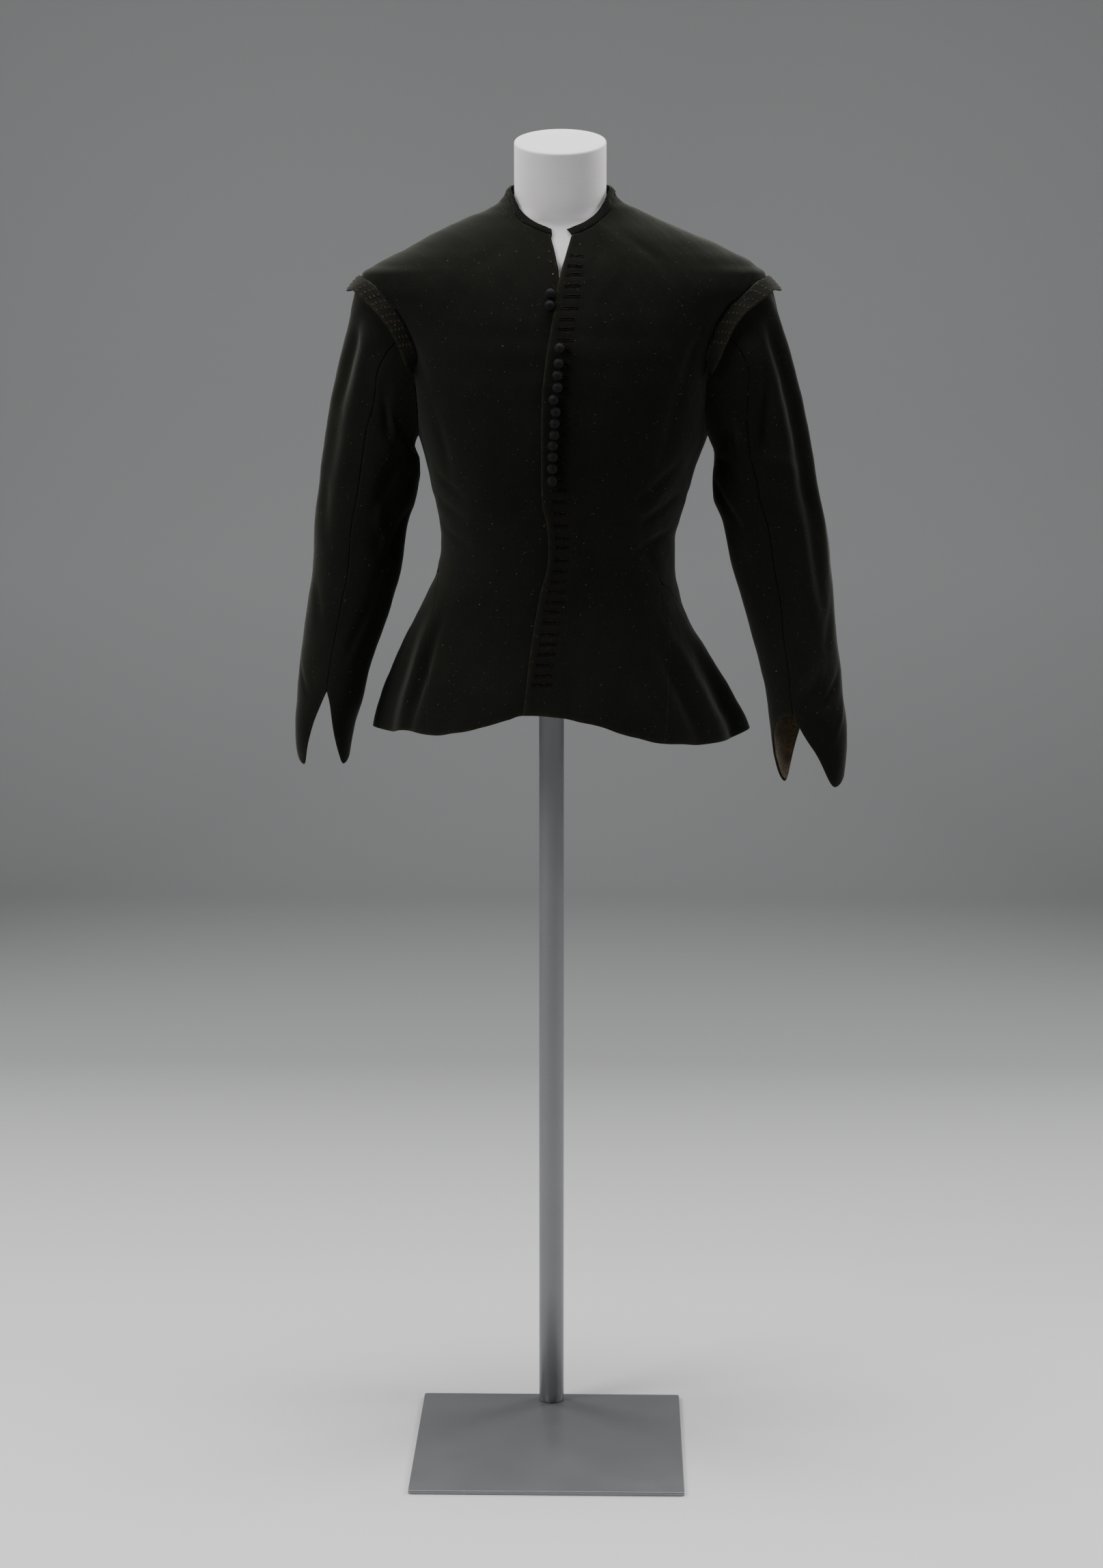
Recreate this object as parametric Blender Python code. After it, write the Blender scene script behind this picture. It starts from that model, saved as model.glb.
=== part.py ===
"""A man's wool doublet of about 1620, on a limbless dress form that stands on a square foot.

The garment is a set of cut pieces. Every piece is a wall laid on one body surface or on one
sleeve surface, and those two surfaces come from the short tables below.
Front is -Y, the wearer's left is +X, and the origin is under the pole, on the floor.
"""
import math

import bmesh
import bpy
import numpy as np

# Cloth and seams
WALL = 0.0022
SLEEVE_WALL = 0.0018
LINING_WALL = 0.0009
SEAM_TURN = 0.0013
SLEEVE_SEAM_TURN = 0.0039
SEAM = 0.0004
POINTS_MEET = 5e-6
SHARP_ANGLE = math.radians(50)
LAP_LIFT = 0.0034
LAP_FULL, LAP_END = 0.026, 0.062
LAP_LOW, LAP_HIGH = 1.452, 1.500

# Stand
PLATE_SIDE, PLATE_THICK, PLATE_BACK, PLATE_CORNER = 0.333, 0.005, 0.020, 0.004
POLE_RADIUS = 0.016
POLE_SIDES = 24
CONTACT = 0.0003

# Dress form
FORM_BOTTOM = 0.960
FORM_SIDES = 36
NECK_HALF_WIDTH, NECK_HALF_DEPTH = 0.0583, 0.0573
NECK_MIDDLE = 0.0113
NECK_LEAN = (1.52, -0.002, 1.633, -0.012)
NECK_FROM, NECK_FULL = 1.522, 1.548
FORM_SLOPE_FROM, FORM_SLOPE_FULL = 1.30, 1.42
NECK_TOP, NECK_CAP_TILT = 1.6345, math.radians(18)
FORM_LEVELS = (0.960, 0.972, 1.00, 1.04, 1.08, 1.125, 1.17, 1.22, 1.27, 1.31, 1.35, 1.385, 1.415,
               1.44, 1.455, 1.468, 1.48, 1.493, 1.505, 1.518, 1.53, 1.54, 1.55, 1.56, 1.58, 1.61)
FORM_INSET = (
    # height, how far the form lies inside the cloth's outer face
    (0.940, 0.036),
    (1.000, 0.022),
    (1.050, 0.012),
    (1.100, 0.009),
    (1.300, 0.008),
    (1.440, 0.008),
    (1.464, 0.0105),
    (1.482, 0.0044),
    (1.525, 0.0041),
    (1.545, 0.012),
    (1.570, 0.018),
)

# The body surface, as level rings
TORSO = (
    # height, right side, left side, front, back, squareness
    (0.860, -0.2330, 0.2570, -0.1630, 0.1700, 2.05),
    (0.890, -0.2265, 0.2500, -0.1580, 0.1630, 2.05),
    (0.925, -0.2174, 0.2330, -0.1520, 0.1540, 2.10),
    (0.960, -0.2043, 0.2148, -0.1460, 0.1430, 2.10),
    (0.995, -0.1904, 0.1948, -0.1400, 0.1310, 2.15),
    (1.029, -0.1748, 0.1745, -0.1340, 0.1190, 2.20),
    (1.064, -0.1574, 0.1630, -0.1290, 0.1090, 2.20),
    (1.099, -0.1440, 0.1578, -0.1260, 0.1010, 2.25),
    (1.125, -0.1412, 0.1575, -0.1250, 0.0980, 2.25),
    (1.151, -0.1428, 0.1626, -0.1260, 0.0980, 2.30),
    (1.186, -0.1504, 0.1739, -0.1290, 0.1010, 2.30),
    (1.221, -0.1574, 0.1826, -0.1320, 0.1050, 2.30),
    (1.262, -0.1690, 0.1985, -0.1350, 0.1100, 2.30),
    (1.300, -0.1800, 0.2070, -0.1360, 0.1140, 2.30),
    (1.350, -0.1930, 0.2195, -0.1330, 0.1170, 2.30),
    (1.390, -0.2060, 0.2330, -0.1260, 0.1170, 2.30),
    (1.430, -0.2280, 0.2560, -0.1140, 0.1130, 2.30),
    (1.452, -0.2400, 0.2710, -0.1060, 0.1090, 2.30),
    (1.464, -0.2405, 0.2715, -0.1010, 0.1060, 2.30),
    (1.477, -0.2260, 0.2600, -0.0950, 0.1030, 2.25),
    (1.498, -0.1870, 0.2235, -0.0840, 0.0960, 2.20),
    (1.519, -0.1480, 0.1765, -0.0700, 0.0890, 2.15),
    (1.540, -0.1035, 0.1280, -0.0530, 0.0810, 2.10),
    (1.550, -0.0790, 0.1075, -0.0475, 0.0770, 2.10),
    (1.561, -0.0640, 0.0880, -0.0420, 0.0725, 2.05),
    (1.570, -0.0583, 0.0815, -0.0360, 0.0685, 2.00),
    (1.582, -0.0535, 0.0765, -0.0330, 0.0650, 2.00),
)

# The hem, right round, from the middle of the back by the wearer's right to the back again
HEM_GUESS, HEM_ROUNDS = 0.890, 3
HEM = (
    # degrees from the front, height
    (-180, 0.886),
    (-130, 0.886),
    (-88, 0.891),
    (-65, 0.8913),
    (-54, 0.8955),
    (-43, 0.8930),
    (-33, 0.8974),
    (-22, 0.9070),
    (-14, 0.9167),
    (-8.5, 0.9220),
    (0, 0.9200),
    (7, 0.9140),
    (12.5, 0.9090),
    (18.5, 0.9000),
    (23.5, 0.8940),
    (33, 0.8850),
    (39, 0.8836),
    (48.5, 0.8810),
    (61, 0.8827),
    (88, 0.8890),
    (130, 0.8860),
    (180, 0.8860),
)

# The closing edges of the two fronts
CLOSING_FOOT = 0.920
CLOSING = (
    # height, left front's edge, right front's edge
    (0.860, -0.0370, -0.0170),
    (0.922, -0.0315, -0.0115),
    (0.951, -0.0282, -0.0082),
    (1.0075, -0.0214, -0.0014),
    (1.0655, -0.0122, 0.0078),
    (1.127, -0.0010, 0.0190),
    (1.154, -0.0029, 0.0171),
    (1.198, -0.0097, 0.0103),
    (1.268, -0.0097, 0.0103),
    (1.311, -0.0088, 0.0112),
    (1.340, -0.0063, 0.0125),
    (1.3885, 0.0004, 0.0145),
    (1.419, 0.0055, 0.0145),
    (1.445, 0.0088, 0.0130),
    (1.4615, 0.0122, 0.0116),
    (1.488, 0.0190, 0.0072),
    (1.514, 0.0262, 0.0004),
)

# The neckline, from the middle of the front to the middle of the back, alike on both sides
NECKLINE = (
    # degrees round the neck, degrees round the body, seam height, height of the band's upper edge
    (0, 0.0, 1.5130, 1.5210),
    (9, 3.5, 1.5150, 1.5232),
    (14, 5.5, 1.5170, 1.5255),
    (39, 17.5, 1.5290, 1.5385),
    (63, 43.0, 1.5510, 1.5600),
    (75, 62.0, 1.5620, 1.5695),
    (90, 90.0, 1.5700, 1.5768),
    (135, 135.0, 1.5745, 1.5825),
    (180, 180.0, 1.5780, 1.5860),
)
NECK_START = {-1: 9.0, 1: 8.0}
BAND_FREE = 0.0036
BAND_WALL = 0.0020

# The armhole: a level cuts it at this share of the body's half width, in front and behind
ARMPIT, TIP = 1.262, 1.464
ARMHOLE = (
    # height, share of the half width
    (1.262, 1.000),
    (1.275, 0.968),
    (1.300, 0.935),
    (1.335, 0.905),
    (1.353, 0.885),
    (1.371, 0.868),
    (1.390, 0.868),
    (1.413, 0.873),
    (1.435, 0.891),
    (1.452, 0.925),
    (1.464, 1.000),
)

# Hip gores, let into a slash of each front. The key is the wearer's side: -1 right, 1 left.
APEX = {-1: 1.0955, 1: 1.0840}
GORE_FRONT = {
    # height, degrees from the front
    -1: ((0.860, 42.0), (0.894, 43.4), (0.942, 46.8), (0.975, 50.8), (1.0115, 55.3),
         (1.038, 59.7), (1.064, 66.7), (1.0955, 82.0)),
    1: ((0.860, 31.0), (0.889, 32.8), (0.910, 35.0), (0.955, 41.8), (1.0085, 51.3),
        (1.035, 55.1), (1.084, 57.9)),
}
GORE_BACK = {
    # height, degrees from the front
    -1: ((0.860, 114.0), (0.930, 109.0), (0.980, 104.0), (1.030, 97.0), (1.070, 90.0),
         (1.0955, 82.0)),
    1: ((0.860, 115.0), (0.930, 109.0), (0.980, 101.0), (1.030, 88.0), (1.053, 78.0),
        (1.0645, 69.0), (1.084, 57.9)),
}
GORE_TOP_CUT = 0.24
SIDE_SEAM = (
    # height, degrees from the front
    (0.860, 130.0),
    (0.950, 122.0),
    (1.000, 115.0),
    (1.050, 109.0),
    (1.100, 106.0),
    (1.200, 102.0),
    (1.262, 90.0),
)

# Soft folds of the skirts and gores
FOLDS = (
    # degrees from the front, width in degrees, rise, top height, lean in degrees a metre down
    (-50.0, 3.2, -0.0090, 1.055, -18.0),
    (-59.0, 4.5, 0.0060, 1.075, 30.0),
    (-70.0, 5.0, -0.0045, 1.070, 25.0),
    (-81.0, 5.0, 0.0050, 1.060, 10.0),
    (-96.0, 6.0, -0.0060, 1.060, -10.0),
    (-112.0, 7.0, 0.0060, 1.060, -20.0),
    (-26.0, 7.0, 0.0035, 1.000, 10.0),
    (-11.0, 5.0, -0.0030, 0.990, 0.0),
    (16.0, 6.0, -0.0040, 1.000, 5.0),
    (27.0, 5.0, 0.0045, 1.010, 10.0),
    (43.0, 4.0, -0.0060, 1.040, 30.0),
    (54.0, 5.0, 0.0055, 1.050, 10.0),
    (67.0, 5.0, -0.0050, 1.040, 0.0),
    (80.0, 6.0, 0.0060, 1.030, 0.0),
    (99.0, 6.0, -0.0060, 1.040, 15.0),
    (116.0, 7.0, 0.0060, 1.050, 20.0),
    (140.0, 8.0, -0.0060, 1.040, 10.0),
    (160.0, 7.0, 0.0050, 1.040, 0.0),
    (-140.0, 8.0, -0.0060, 1.040, -10.0),
    (-162.0, 7.0, 0.0050, 1.040, 0.0),
)
FOLD_FADE = 0.120

# Sleeves, as rings from the armhole down. Each ring leans from an outer to an inner point.
SLEEVES = {
    -1: (
        # ring, outer x, outer z, inner x, inner z, middle y, half depth, front seam, back seam
        (0, -0.2405, 1.464, -0.1690, 1.262, 0.000, 0.0740, 90, 90),
        (1, -0.2500, 1.448, -0.1740, 1.254, 0.000, 0.0740, 90, 90),
        (2, -0.2560, 1.415, -0.1745, 1.247, 0.000, 0.0720, 90, 90),
        (3, -0.2650, 1.377, -0.1720, 1.239, 0.000, 0.0690, 88, 90),
        (4, -0.2750, 1.335, -0.1685, 1.230, 0.000, 0.0670, 86, 90),
        (5, -0.2830, 1.295, -0.1680, 1.217, 0.001, 0.0650, 84, 90),
        (6, -0.2910, 1.245, -0.1700, 1.200, 0.002, 0.0630, 84, 90),
        (7, -0.2975, 1.195, -0.1750, 1.175, 0.002, 0.0610, 84, 90),
        (8, -0.3025, 1.150, -0.1850, 1.145, 0.000, 0.0590, 84, 90),
        (9, -0.3045, 1.100, -0.1905, 1.100, -0.005, 0.0570, 84, 90),
        (10, -0.3100, 1.060, -0.2000, 1.060, -0.012, 0.0540, 84, 90),
        (11, -0.3155, 1.010, -0.2160, 1.010, -0.022, 0.0500, 85, 90),
        (12, -0.3205, 0.965, -0.2310, 0.965, -0.033, 0.0460, 87, 90),
        (13, -0.3225, 0.930, -0.2390, 0.930, -0.041, 0.0430, 88, 90),
        (14, -0.3240, 0.890, -0.2500, 0.890, -0.048, 0.0400, 88, 90),
        (15, -0.3200, 0.850, -0.2560, 0.850, -0.052, 0.0370, 88, 90),
    ),
    1: (
        (0, 0.2715, 1.464, 0.1985, 1.262, 0.000, 0.0740, 90, 90),
        (1, 0.2810, 1.448, 0.2015, 1.255, 0.000, 0.0740, 92, 90),
        (2, 0.2890, 1.415, 0.2045, 1.249, 0.000, 0.0720, 96, 90),
        (3, 0.3010, 1.377, 0.2065, 1.243, 0.000, 0.0690, 100, 90),
        (4, 0.3120, 1.335, 0.2075, 1.235, 0.000, 0.0670, 103, 90),
        (5, 0.3220, 1.295, 0.2070, 1.225, 0.001, 0.0650, 104, 90),
        (6, 0.3320, 1.245, 0.2055, 1.208, 0.002, 0.0630, 101, 90),
        (7, 0.3400, 1.195, 0.2065, 1.185, 0.002, 0.0610, 98, 90),
        (8, 0.3495, 1.150, 0.2190, 1.150, 0.000, 0.0590, 98, 90),
        (9, 0.3560, 1.100, 0.2290, 1.100, -0.005, 0.0570, 99, 90),
        (10, 0.3595, 1.060, 0.2410, 1.060, -0.012, 0.0540, 100, 90),
        (11, 0.3627, 1.010, 0.2550, 1.010, -0.022, 0.0500, 105, 90),
        (12, 0.3680, 0.965, 0.2670, 0.965, -0.033, 0.0460, 109, 90),
        (13, 0.3710, 0.930, 0.2735, 0.930, -0.041, 0.0430, 112, 90),
        (14, 0.3750, 0.885, 0.2790, 0.885, -0.048, 0.0400, 112, 90),
        (15, 0.3700, 0.823, 0.2890, 0.823, -0.053, 0.0370, 112, 90),
    ),
}
SLEEVE_SQUARENESS = 2.15
SLEEVE_JOIN_ROWS = 2.0
SLEEVE_START, SLEEVE_LIFT = 0.0008, 0.0015
SLEEVE_AIM = 0.075
NOTCH_RING = {-1: 12.63, 1: 13.45}
TIP_RING = 15.0
TIP_BLUNT, TIP_ROUNDNESS = 0.35, 0.85
TIP_MOST = math.hypot(1.0, TIP_BLUNT)
# The right outer tab keeps its point in the middle: with a skewed one, collision pieces cross the sleeve
TABS = {
    # wearer's side and whether the outer piece: place of the point, power on its first side, on its last
    (-1, False): (1 / 2, 0.85, 0.85),
    (1, True): (2 / 3, 0.85, 0.85),
    (1, False): (2 / 3, 2.4, 0.8),
}

# Soft folds of the sleeves
FOLD_RINGS_IN, FOLD_RINGS_OUT = 1.5, 2.5
SLEEVE_FOLDS = {
    -1: (
        # degrees round the sleeve, width in degrees, rise, first ring, last ring
        (40.0, 14.0, -0.0035, 1.0, 8.0),
        (62.0, 12.0, 0.0025, 2.0, 8.0),
        (120.0, 14.0, -0.0030, 3.0, 9.0),
        (-45.0, 15.0, -0.0035, 1.0, 8.0),
        (-110.0, 15.0, 0.0030, 2.0, 9.0),
    ),
    1: (
        (28.0, 10.0, 0.0050, 0.8, 10.0),
        (46.0, 9.0, -0.0060, 0.8, 9.0),
        (66.0, 10.0, 0.0050, 1.0, 11.0),
        (125.0, 12.0, -0.0050, 2.0, 7.0),
        (-30.0, 12.0, -0.0040, 1.0, 9.0),
        (-70.0, 14.0, 0.0040, 2.0, 9.0),
    ),
}

# Wings: the stiff bands over the sleeve heads
WING_WIDTH, WING_END_WIDTH, WING_REACH = 0.023, 0.009, 100.0
WING_SEAM_RISE, WING_EDGE_RISE, WING_WALL = 0.0019, 0.0046, 0.0020

# Cuff lining of the wearer's left sleeve, the only lining that shows
LINING_SIDE, LINING_FIRST_RING = 1, 11.0
LINING_HEM_BACK = 0.05
LINING_EVERY = 4

# Ball buttons
BUTTON_RADIUS, BUTTON_GAP = 0.0061, 0.0001
BUTTON_SEGMENTS, BUTTON_RINGS = 10, 6
FASTENED = (
    # height, place across
    (1.3730, 0.0127),
    (1.3555, 0.0116),
    (1.3404, 0.0103),
    (1.3260, 0.0103),
    (1.3118, 0.0058),
    (1.2967, 0.0080),
    (1.2825, 0.0069),
    (1.2690, 0.0065),
    (1.2555, 0.0046),
    (1.2420, 0.0046),
    (1.2277, 0.0040),
    (1.2126, 0.0038),
)
UNFASTENED = (
    # height, place across
    (1.4400, 0.0010),
    (1.4255, 0.0002),
)

# How finely the walls are divided
SKIRT_ROWS, SIDE_ROWS, ARMHOLE_ROWS = 8, 5, 10
NECK_ROWS = 7
FRONT_COLUMNS = (0.0, 0.05, 0.10, 0.16, 0.24, 0.32, 0.40, 0.48, 0.57, 0.66, 0.75, 0.84, 0.92, 1.0)
BESIDE_COLUMNS = (0.0, 0.33, 0.67, 1.0)
GORE_COLUMNS = tuple(step / 9 for step in range(10))
BACK_COLUMNS = tuple(step / 8 for step in range(9))
SLEEVE_COLUMNS, SLEEVE_ROWS = 10, 16
WING_ROWS, WING_LAST_RING, WING_STEPS = 3, 3, 61
STEP, TURN_STEP, RING_STEP = 1e-4, 1e-3, 0.01

# Looks: red, green, blue, roughness, metallic
LOOKS = {
    "wool": (0.016, 0.019, 0.015, 0.92, 0.0),
    "button_thread": (0.010, 0.009, 0.009, 0.70, 0.0),
    "linen_lining": (0.190, 0.120, 0.050, 0.90, 0.0),
    "form_cover": (0.660, 0.650, 0.655, 0.95, 0.0),
    "stand_paint": (0.200, 0.205, 0.215, 0.45, 0.4),
}


def clear_scene():
    """Empty the open file without closing it."""
    for item in list(bpy.data.objects):
        bpy.data.objects.remove(item, do_unlink=True)


def make_materials():
    """One plain material for each look."""
    materials = {}
    for name, (red, green, blue, roughness, metallic) in LOOKS.items():
        material = bpy.data.materials.new(name)
        material.use_nodes = True
        shader = material.node_tree.nodes["Principled BSDF"]
        shader.inputs["Base Color"].default_value = (red, green, blue, 1.0)
        shader.inputs["Roughness"].default_value = roughness
        shader.inputs["Metallic"].default_value = metallic
        materials[name] = material
    return materials


def smooth_reader(table):
    """A function that reads every column of a table, smoothly, at any value of its first column."""
    rows = np.array(table, dtype=float)
    keys, values = rows[:, 0], rows[:, 1:]
    rises = np.diff(values, axis=0) / np.diff(keys)[:, None]
    product, total = rises[:-1] * rises[1:], rises[:-1] + rises[1:]
    slopes = np.zeros_like(values)
    slopes[0], slopes[-1] = rises[0], rises[-1]
    same_way = product > 0
    slopes[1:-1][same_way] = 2 * product[same_way] / total[same_way]

    def read(at):
        at = np.clip(np.asarray(at, dtype=float), keys[0], keys[-1])
        place = np.clip(np.searchsorted(keys, at) - 1, 0, len(keys) - 2)
        width = (keys[place + 1] - keys[place])[..., None]
        step = (at - keys[place])[..., None] / width
        start = values[place] + slopes[place] * width * step
        end = values[place + 1] - slopes[place + 1] * width * (1 - step)
        ease = step * step * (3 - 2 * step)
        return start * (1 - ease) + end * ease

    return read


read_torso = smooth_reader(TORSO)
read_hem = smooth_reader(HEM)
read_closing = smooth_reader(CLOSING)
read_neckline = smooth_reader(NECKLINE)
read_armhole = smooth_reader(ARMHOLE)
read_side_seam = smooth_reader(SIDE_SEAM)
read_inset = smooth_reader(FORM_INSET)
read_gore_front = {side: smooth_reader(GORE_FRONT[side]) for side in GORE_FRONT}
read_gore_back = {side: smooth_reader(GORE_BACK[side]) for side in GORE_BACK}
read_sleeve = {side: smooth_reader(SLEEVES[side]) for side in SLEEVES}


def ease(value):
    """A soft step from 0 to 1."""
    value = np.clip(value, 0.0, 1.0)
    return value * value * (3 - 2 * value)


def signed_power(value, power):
    """A power that keeps the sign."""
    return np.sign(value) * np.abs(value) ** power


def unit(vectors):
    """Vectors of length one."""
    return vectors / np.linalg.norm(vectors, axis=-1, keepdims=True)


def torso(angle, height):
    """Point of the body surface, where the angle runs from the front to the wearer's left."""
    right, left, front, back, square = np.moveaxis(read_torso(height), -1, 0)
    middle, half = (left + right) / 2, (left - right) / 2
    across = signed_power(np.sin(angle), 2 / square)
    along = signed_power(np.cos(angle), 2 / square)
    depth = np.where(along > 0, -front, back)
    return np.stack([middle + half * across, -depth * along, height + 0 * angle], axis=-1)


def torso_normal(angle, height):
    """Outward direction of the body surface."""
    round_it = torso(angle + STEP, height) - torso(angle - STEP, height)
    up_it = torso(angle, height + STEP) - torso(angle, height - STEP)
    return unit(np.cross(round_it, up_it))


def torso_angle(x, height):
    """Angle at which a level ring of the body's front reaches a place across."""
    right, left, _, _, square = np.moveaxis(read_torso(height), -1, 0)
    middle, half = (left + right) / 2, (left - right) / 2
    share = np.clip((x - middle) / half, -1, 1)
    return np.arcsin(signed_power(share, square / 2))


def fold_rise(angle, height):
    """How far the soft folds stand out from the body surface."""
    total = np.zeros(np.broadcast(angle, height).shape)
    for centre, width, rise, top, lean in FOLDS:
        below = np.clip(top - height, 0, None)
        away = np.degrees(angle) - centre - lean * below
        total += rise * np.exp(-(away / width) ** 2) * ease(below / FOLD_FADE)
    return total


def lap_rise(angle, height):
    """How far the left front rises to pass over the right front."""
    x = torso(angle, height)[..., 0]
    past_edge = x - read_closing(height)[..., 0]
    across = 1 - ease((past_edge - LAP_FULL) / (LAP_END - LAP_FULL))
    upward = 1 - ease((height - LAP_LOW) / (LAP_HIGH - LAP_LOW))
    return LAP_LIFT * across * upward


def body_wall(angle, height, lapped=False):
    """Outer and inner points of cloth that lies on the body surface."""
    normal = torso_normal(angle, height)
    rise = fold_rise(angle, height)
    if lapped:
        rise = rise + lap_rise(angle, height)
    outer = torso(angle, height) + normal * rise[..., None]
    return outer, outer - normal * WALL


def hem_height(angle):
    """Height of the hem at an angle."""
    return read_hem(np.degrees(angle))[..., 0]


def seam_line(read, side, top, turn):
    """Angle and height down a seam of the skirt, from the hem up to the gore's apex."""
    share = np.linspace(0, 1, SKIRT_ROWS + 1)
    height = top * share + HEM_GUESS * (1 - share)
    for _ in range(HEM_ROUNDS):
        angle = side * np.radians(read(height)[..., 0]) + turn
        foot = hem_height(angle[:1])[0]
        height = foot + (top - foot) * share
    return angle, height


def armhole_line(side, behind, turn=0.0):
    """Angle and height up the armhole from the armpit to the shoulder tip."""
    swing = np.linspace(math.pi, 0, ARMHOLE_ROWS + 1)
    height = (TIP + ARMPIT) / 2 + (TIP - ARMPIT) / 2 * np.cos(swing)
    share = read_armhole(height)[..., 0]
    square = read_torso(height)[..., 4]
    angle = np.arcsin(np.clip(share, 0, 1) ** (square / 2))
    if behind:
        angle = math.pi - angle
    return side * angle + turn, height


def join(*lines):
    """One line of angles and heights from several that follow one another."""
    angle = np.concatenate([line[0] if i == 0 else line[0][1:] for i, line in enumerate(lines)])
    height = np.concatenate([line[1] if i == 0 else line[1][1:] for i, line in enumerate(lines)])
    return angle, height


def side_line(side, turn, apex):
    """Angle and height up the side seam between the waist and the armpit."""
    height = np.linspace(apex, ARMPIT, SIDE_ROWS + 1)
    angle = side * np.radians(read_side_seam(height)[..., 0]) + turn
    return angle, height


def above_gore_line(side, apex):
    """Angle and height from the gore's apex up to the armpit, where the front is whole."""
    share = np.linspace(0, 1, SIDE_ROWS + 1)
    start = read_gore_front[side](apex)[0]
    angle = side * np.radians(start + (90 - start) * share)
    return angle, apex + (ARMPIT - apex) * share


def closing_line(side, height):
    """Angle and height up the closing edge of a front."""
    column = 0 if side > 0 else 1
    return torso_angle(read_closing(height)[..., column], height), height


def neck_line(side, start, end):
    """Angle and height along the neckline seam."""
    row = read_neckline(np.linspace(start, end, NECK_ROWS + 1))
    return side * np.radians(row[..., 0]), row[..., 1]


def patch(first, last, columns, lapped=False):
    """Grid of wall points between two lines of angles and heights."""
    share = np.array(columns)
    angle = first[0][:, None] * (1 - share) + last[0][:, None] * share
    height = first[1][:, None] * (1 - share) + last[1][:, None] * share
    skirt = slice(0, SKIRT_ROWS + 1)
    up = np.linspace(0, 1, SKIRT_ROWS + 1)[:, None] ** 2
    level = hem_height(angle[:1]) - height[:1]
    height[skirt] += level * (1 - up)
    return body_wall(angle, height, lapped)


def wall(name, patches, material, home):
    """A closed wall from patches of outer and inner points that share their common edges."""
    known, outer, inner, faces = {}, [], [], []
    for outer_grid, inner_grid in patches:
        rows, columns = outer_grid.shape[:2]
        index = np.zeros((rows, columns), dtype=int)
        for row, column in np.ndindex(rows, columns):
            key = tuple(int(value) for value in np.round(outer_grid[row, column] / POINTS_MEET))
            if key not in known:
                known[key] = len(outer)
                outer.append(outer_grid[row, column])
                inner.append(inner_grid[row, column])
            index[row, column] = known[key]
        for row in range(rows - 1):
            for column in range(columns - 1):
                corners = (index[row, column], index[row, column + 1],
                           index[row + 1, column + 1], index[row + 1, column])
                corners = list(dict.fromkeys(int(corner) for corner in corners))
                if len(corners) > 2:
                    faces.append(corners)
    count = len(outer)
    edges = {}
    for face in faces:
        for a, b in zip(face, face[1:] + face[:1]):
            edges[a, b] = True
    rims = [[b, a, a + count, b + count] for a, b in edges if (b, a) not in edges]
    backs = [[corner + count for corner in reversed(face)] for face in faces]
    return solid(name, np.array(outer + inner), faces + backs + rims, material, home)


def solid(name, points, faces, material, home):
    """A mesh object whose faces point outwards."""
    mesh = bpy.data.meshes.new(name)
    mesh.from_pydata([tuple(point) for point in points], [], faces)
    shape = bmesh.new()
    shape.from_mesh(mesh)
    bmesh.ops.recalc_face_normals(shape, faces=shape.faces)
    if shape.calc_volume(signed=True) < 0:
        bmesh.ops.reverse_faces(shape, faces=shape.faces)
    bmesh.ops.triangulate(shape, faces=[face for face in shape.faces if len(face.verts) == 4],
                          quad_method="SHORT_EDGE")
    shape.to_mesh(mesh)
    shape.free()
    mesh.shade_smooth()
    mesh.set_sharp_from_angle(angle=SHARP_ANGLE)
    mesh.materials.append(material)
    item = bpy.data.objects.new(name, mesh)
    home.objects.link(item)
    return item


def make_front(side, material, home):
    """A front: from its closing edge round to the side seam, slashed at the hip for the gore."""
    apex = APEX[side]
    gore_front = seam_line(read_gore_front[side], side, apex, 0.0)
    gore_back = seam_line(read_gore_back[side], side, apex, 0.0)
    upward = above_gore_line(side, apex)
    armhole = armhole_line(side, behind=False)
    shoulder_turn = -side * SEAM_TURN
    armhole[0][-1] += shoulder_turn
    outer_edge = join(gore_front, upward, armhole)
    neck = neck_line(side, NECK_START[side], 90)
    neck[0][-1] += shoulder_turn
    rows = SKIRT_ROWS + SIDE_ROWS + ARMHOLE_ROWS - NECK_ROWS
    edge = closing_line(side, np.linspace(CLOSING_FOOT, neck[1][0], rows + 1))
    edge[0][-1] = neck[0][0]
    inner_edge = join(edge, neck)
    beside_end = join(seam_line(read_side_seam, side, apex, -side * SEAM_TURN),
                      side_line(side, -side * SEAM_TURN, apex))
    beside_start = join(gore_back, upward)
    beside_end[0][-1] = beside_start[0][-1]
    name = "front_right" if side < 0 else "front_left"
    main = patch(inner_edge, outer_edge, FRONT_COLUMNS, lapped=side > 0)
    beside = patch(beside_start, beside_end, BESIDE_COLUMNS)
    return wall(name, (main, beside), material, home)


def make_gore(side, material, home):
    """A triangular hip gore between the two edges of the slash."""
    turn = side * SEAM_TURN * 2
    first = seam_line(read_gore_front[side], side, APEX[side], turn)
    last = seam_line(read_gore_back[side], side, APEX[side], -turn)
    outer, inner = patch(first, last, GORE_COLUMNS)
    for grid in (outer, inner):
        grid[-1] = grid[-1] * (1 - GORE_TOP_CUT) + grid[-2] * GORE_TOP_CUT
    name = "gore_right" if side < 0 else "gore_left"
    return wall(name, ((outer, inner),), material, home)


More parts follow.
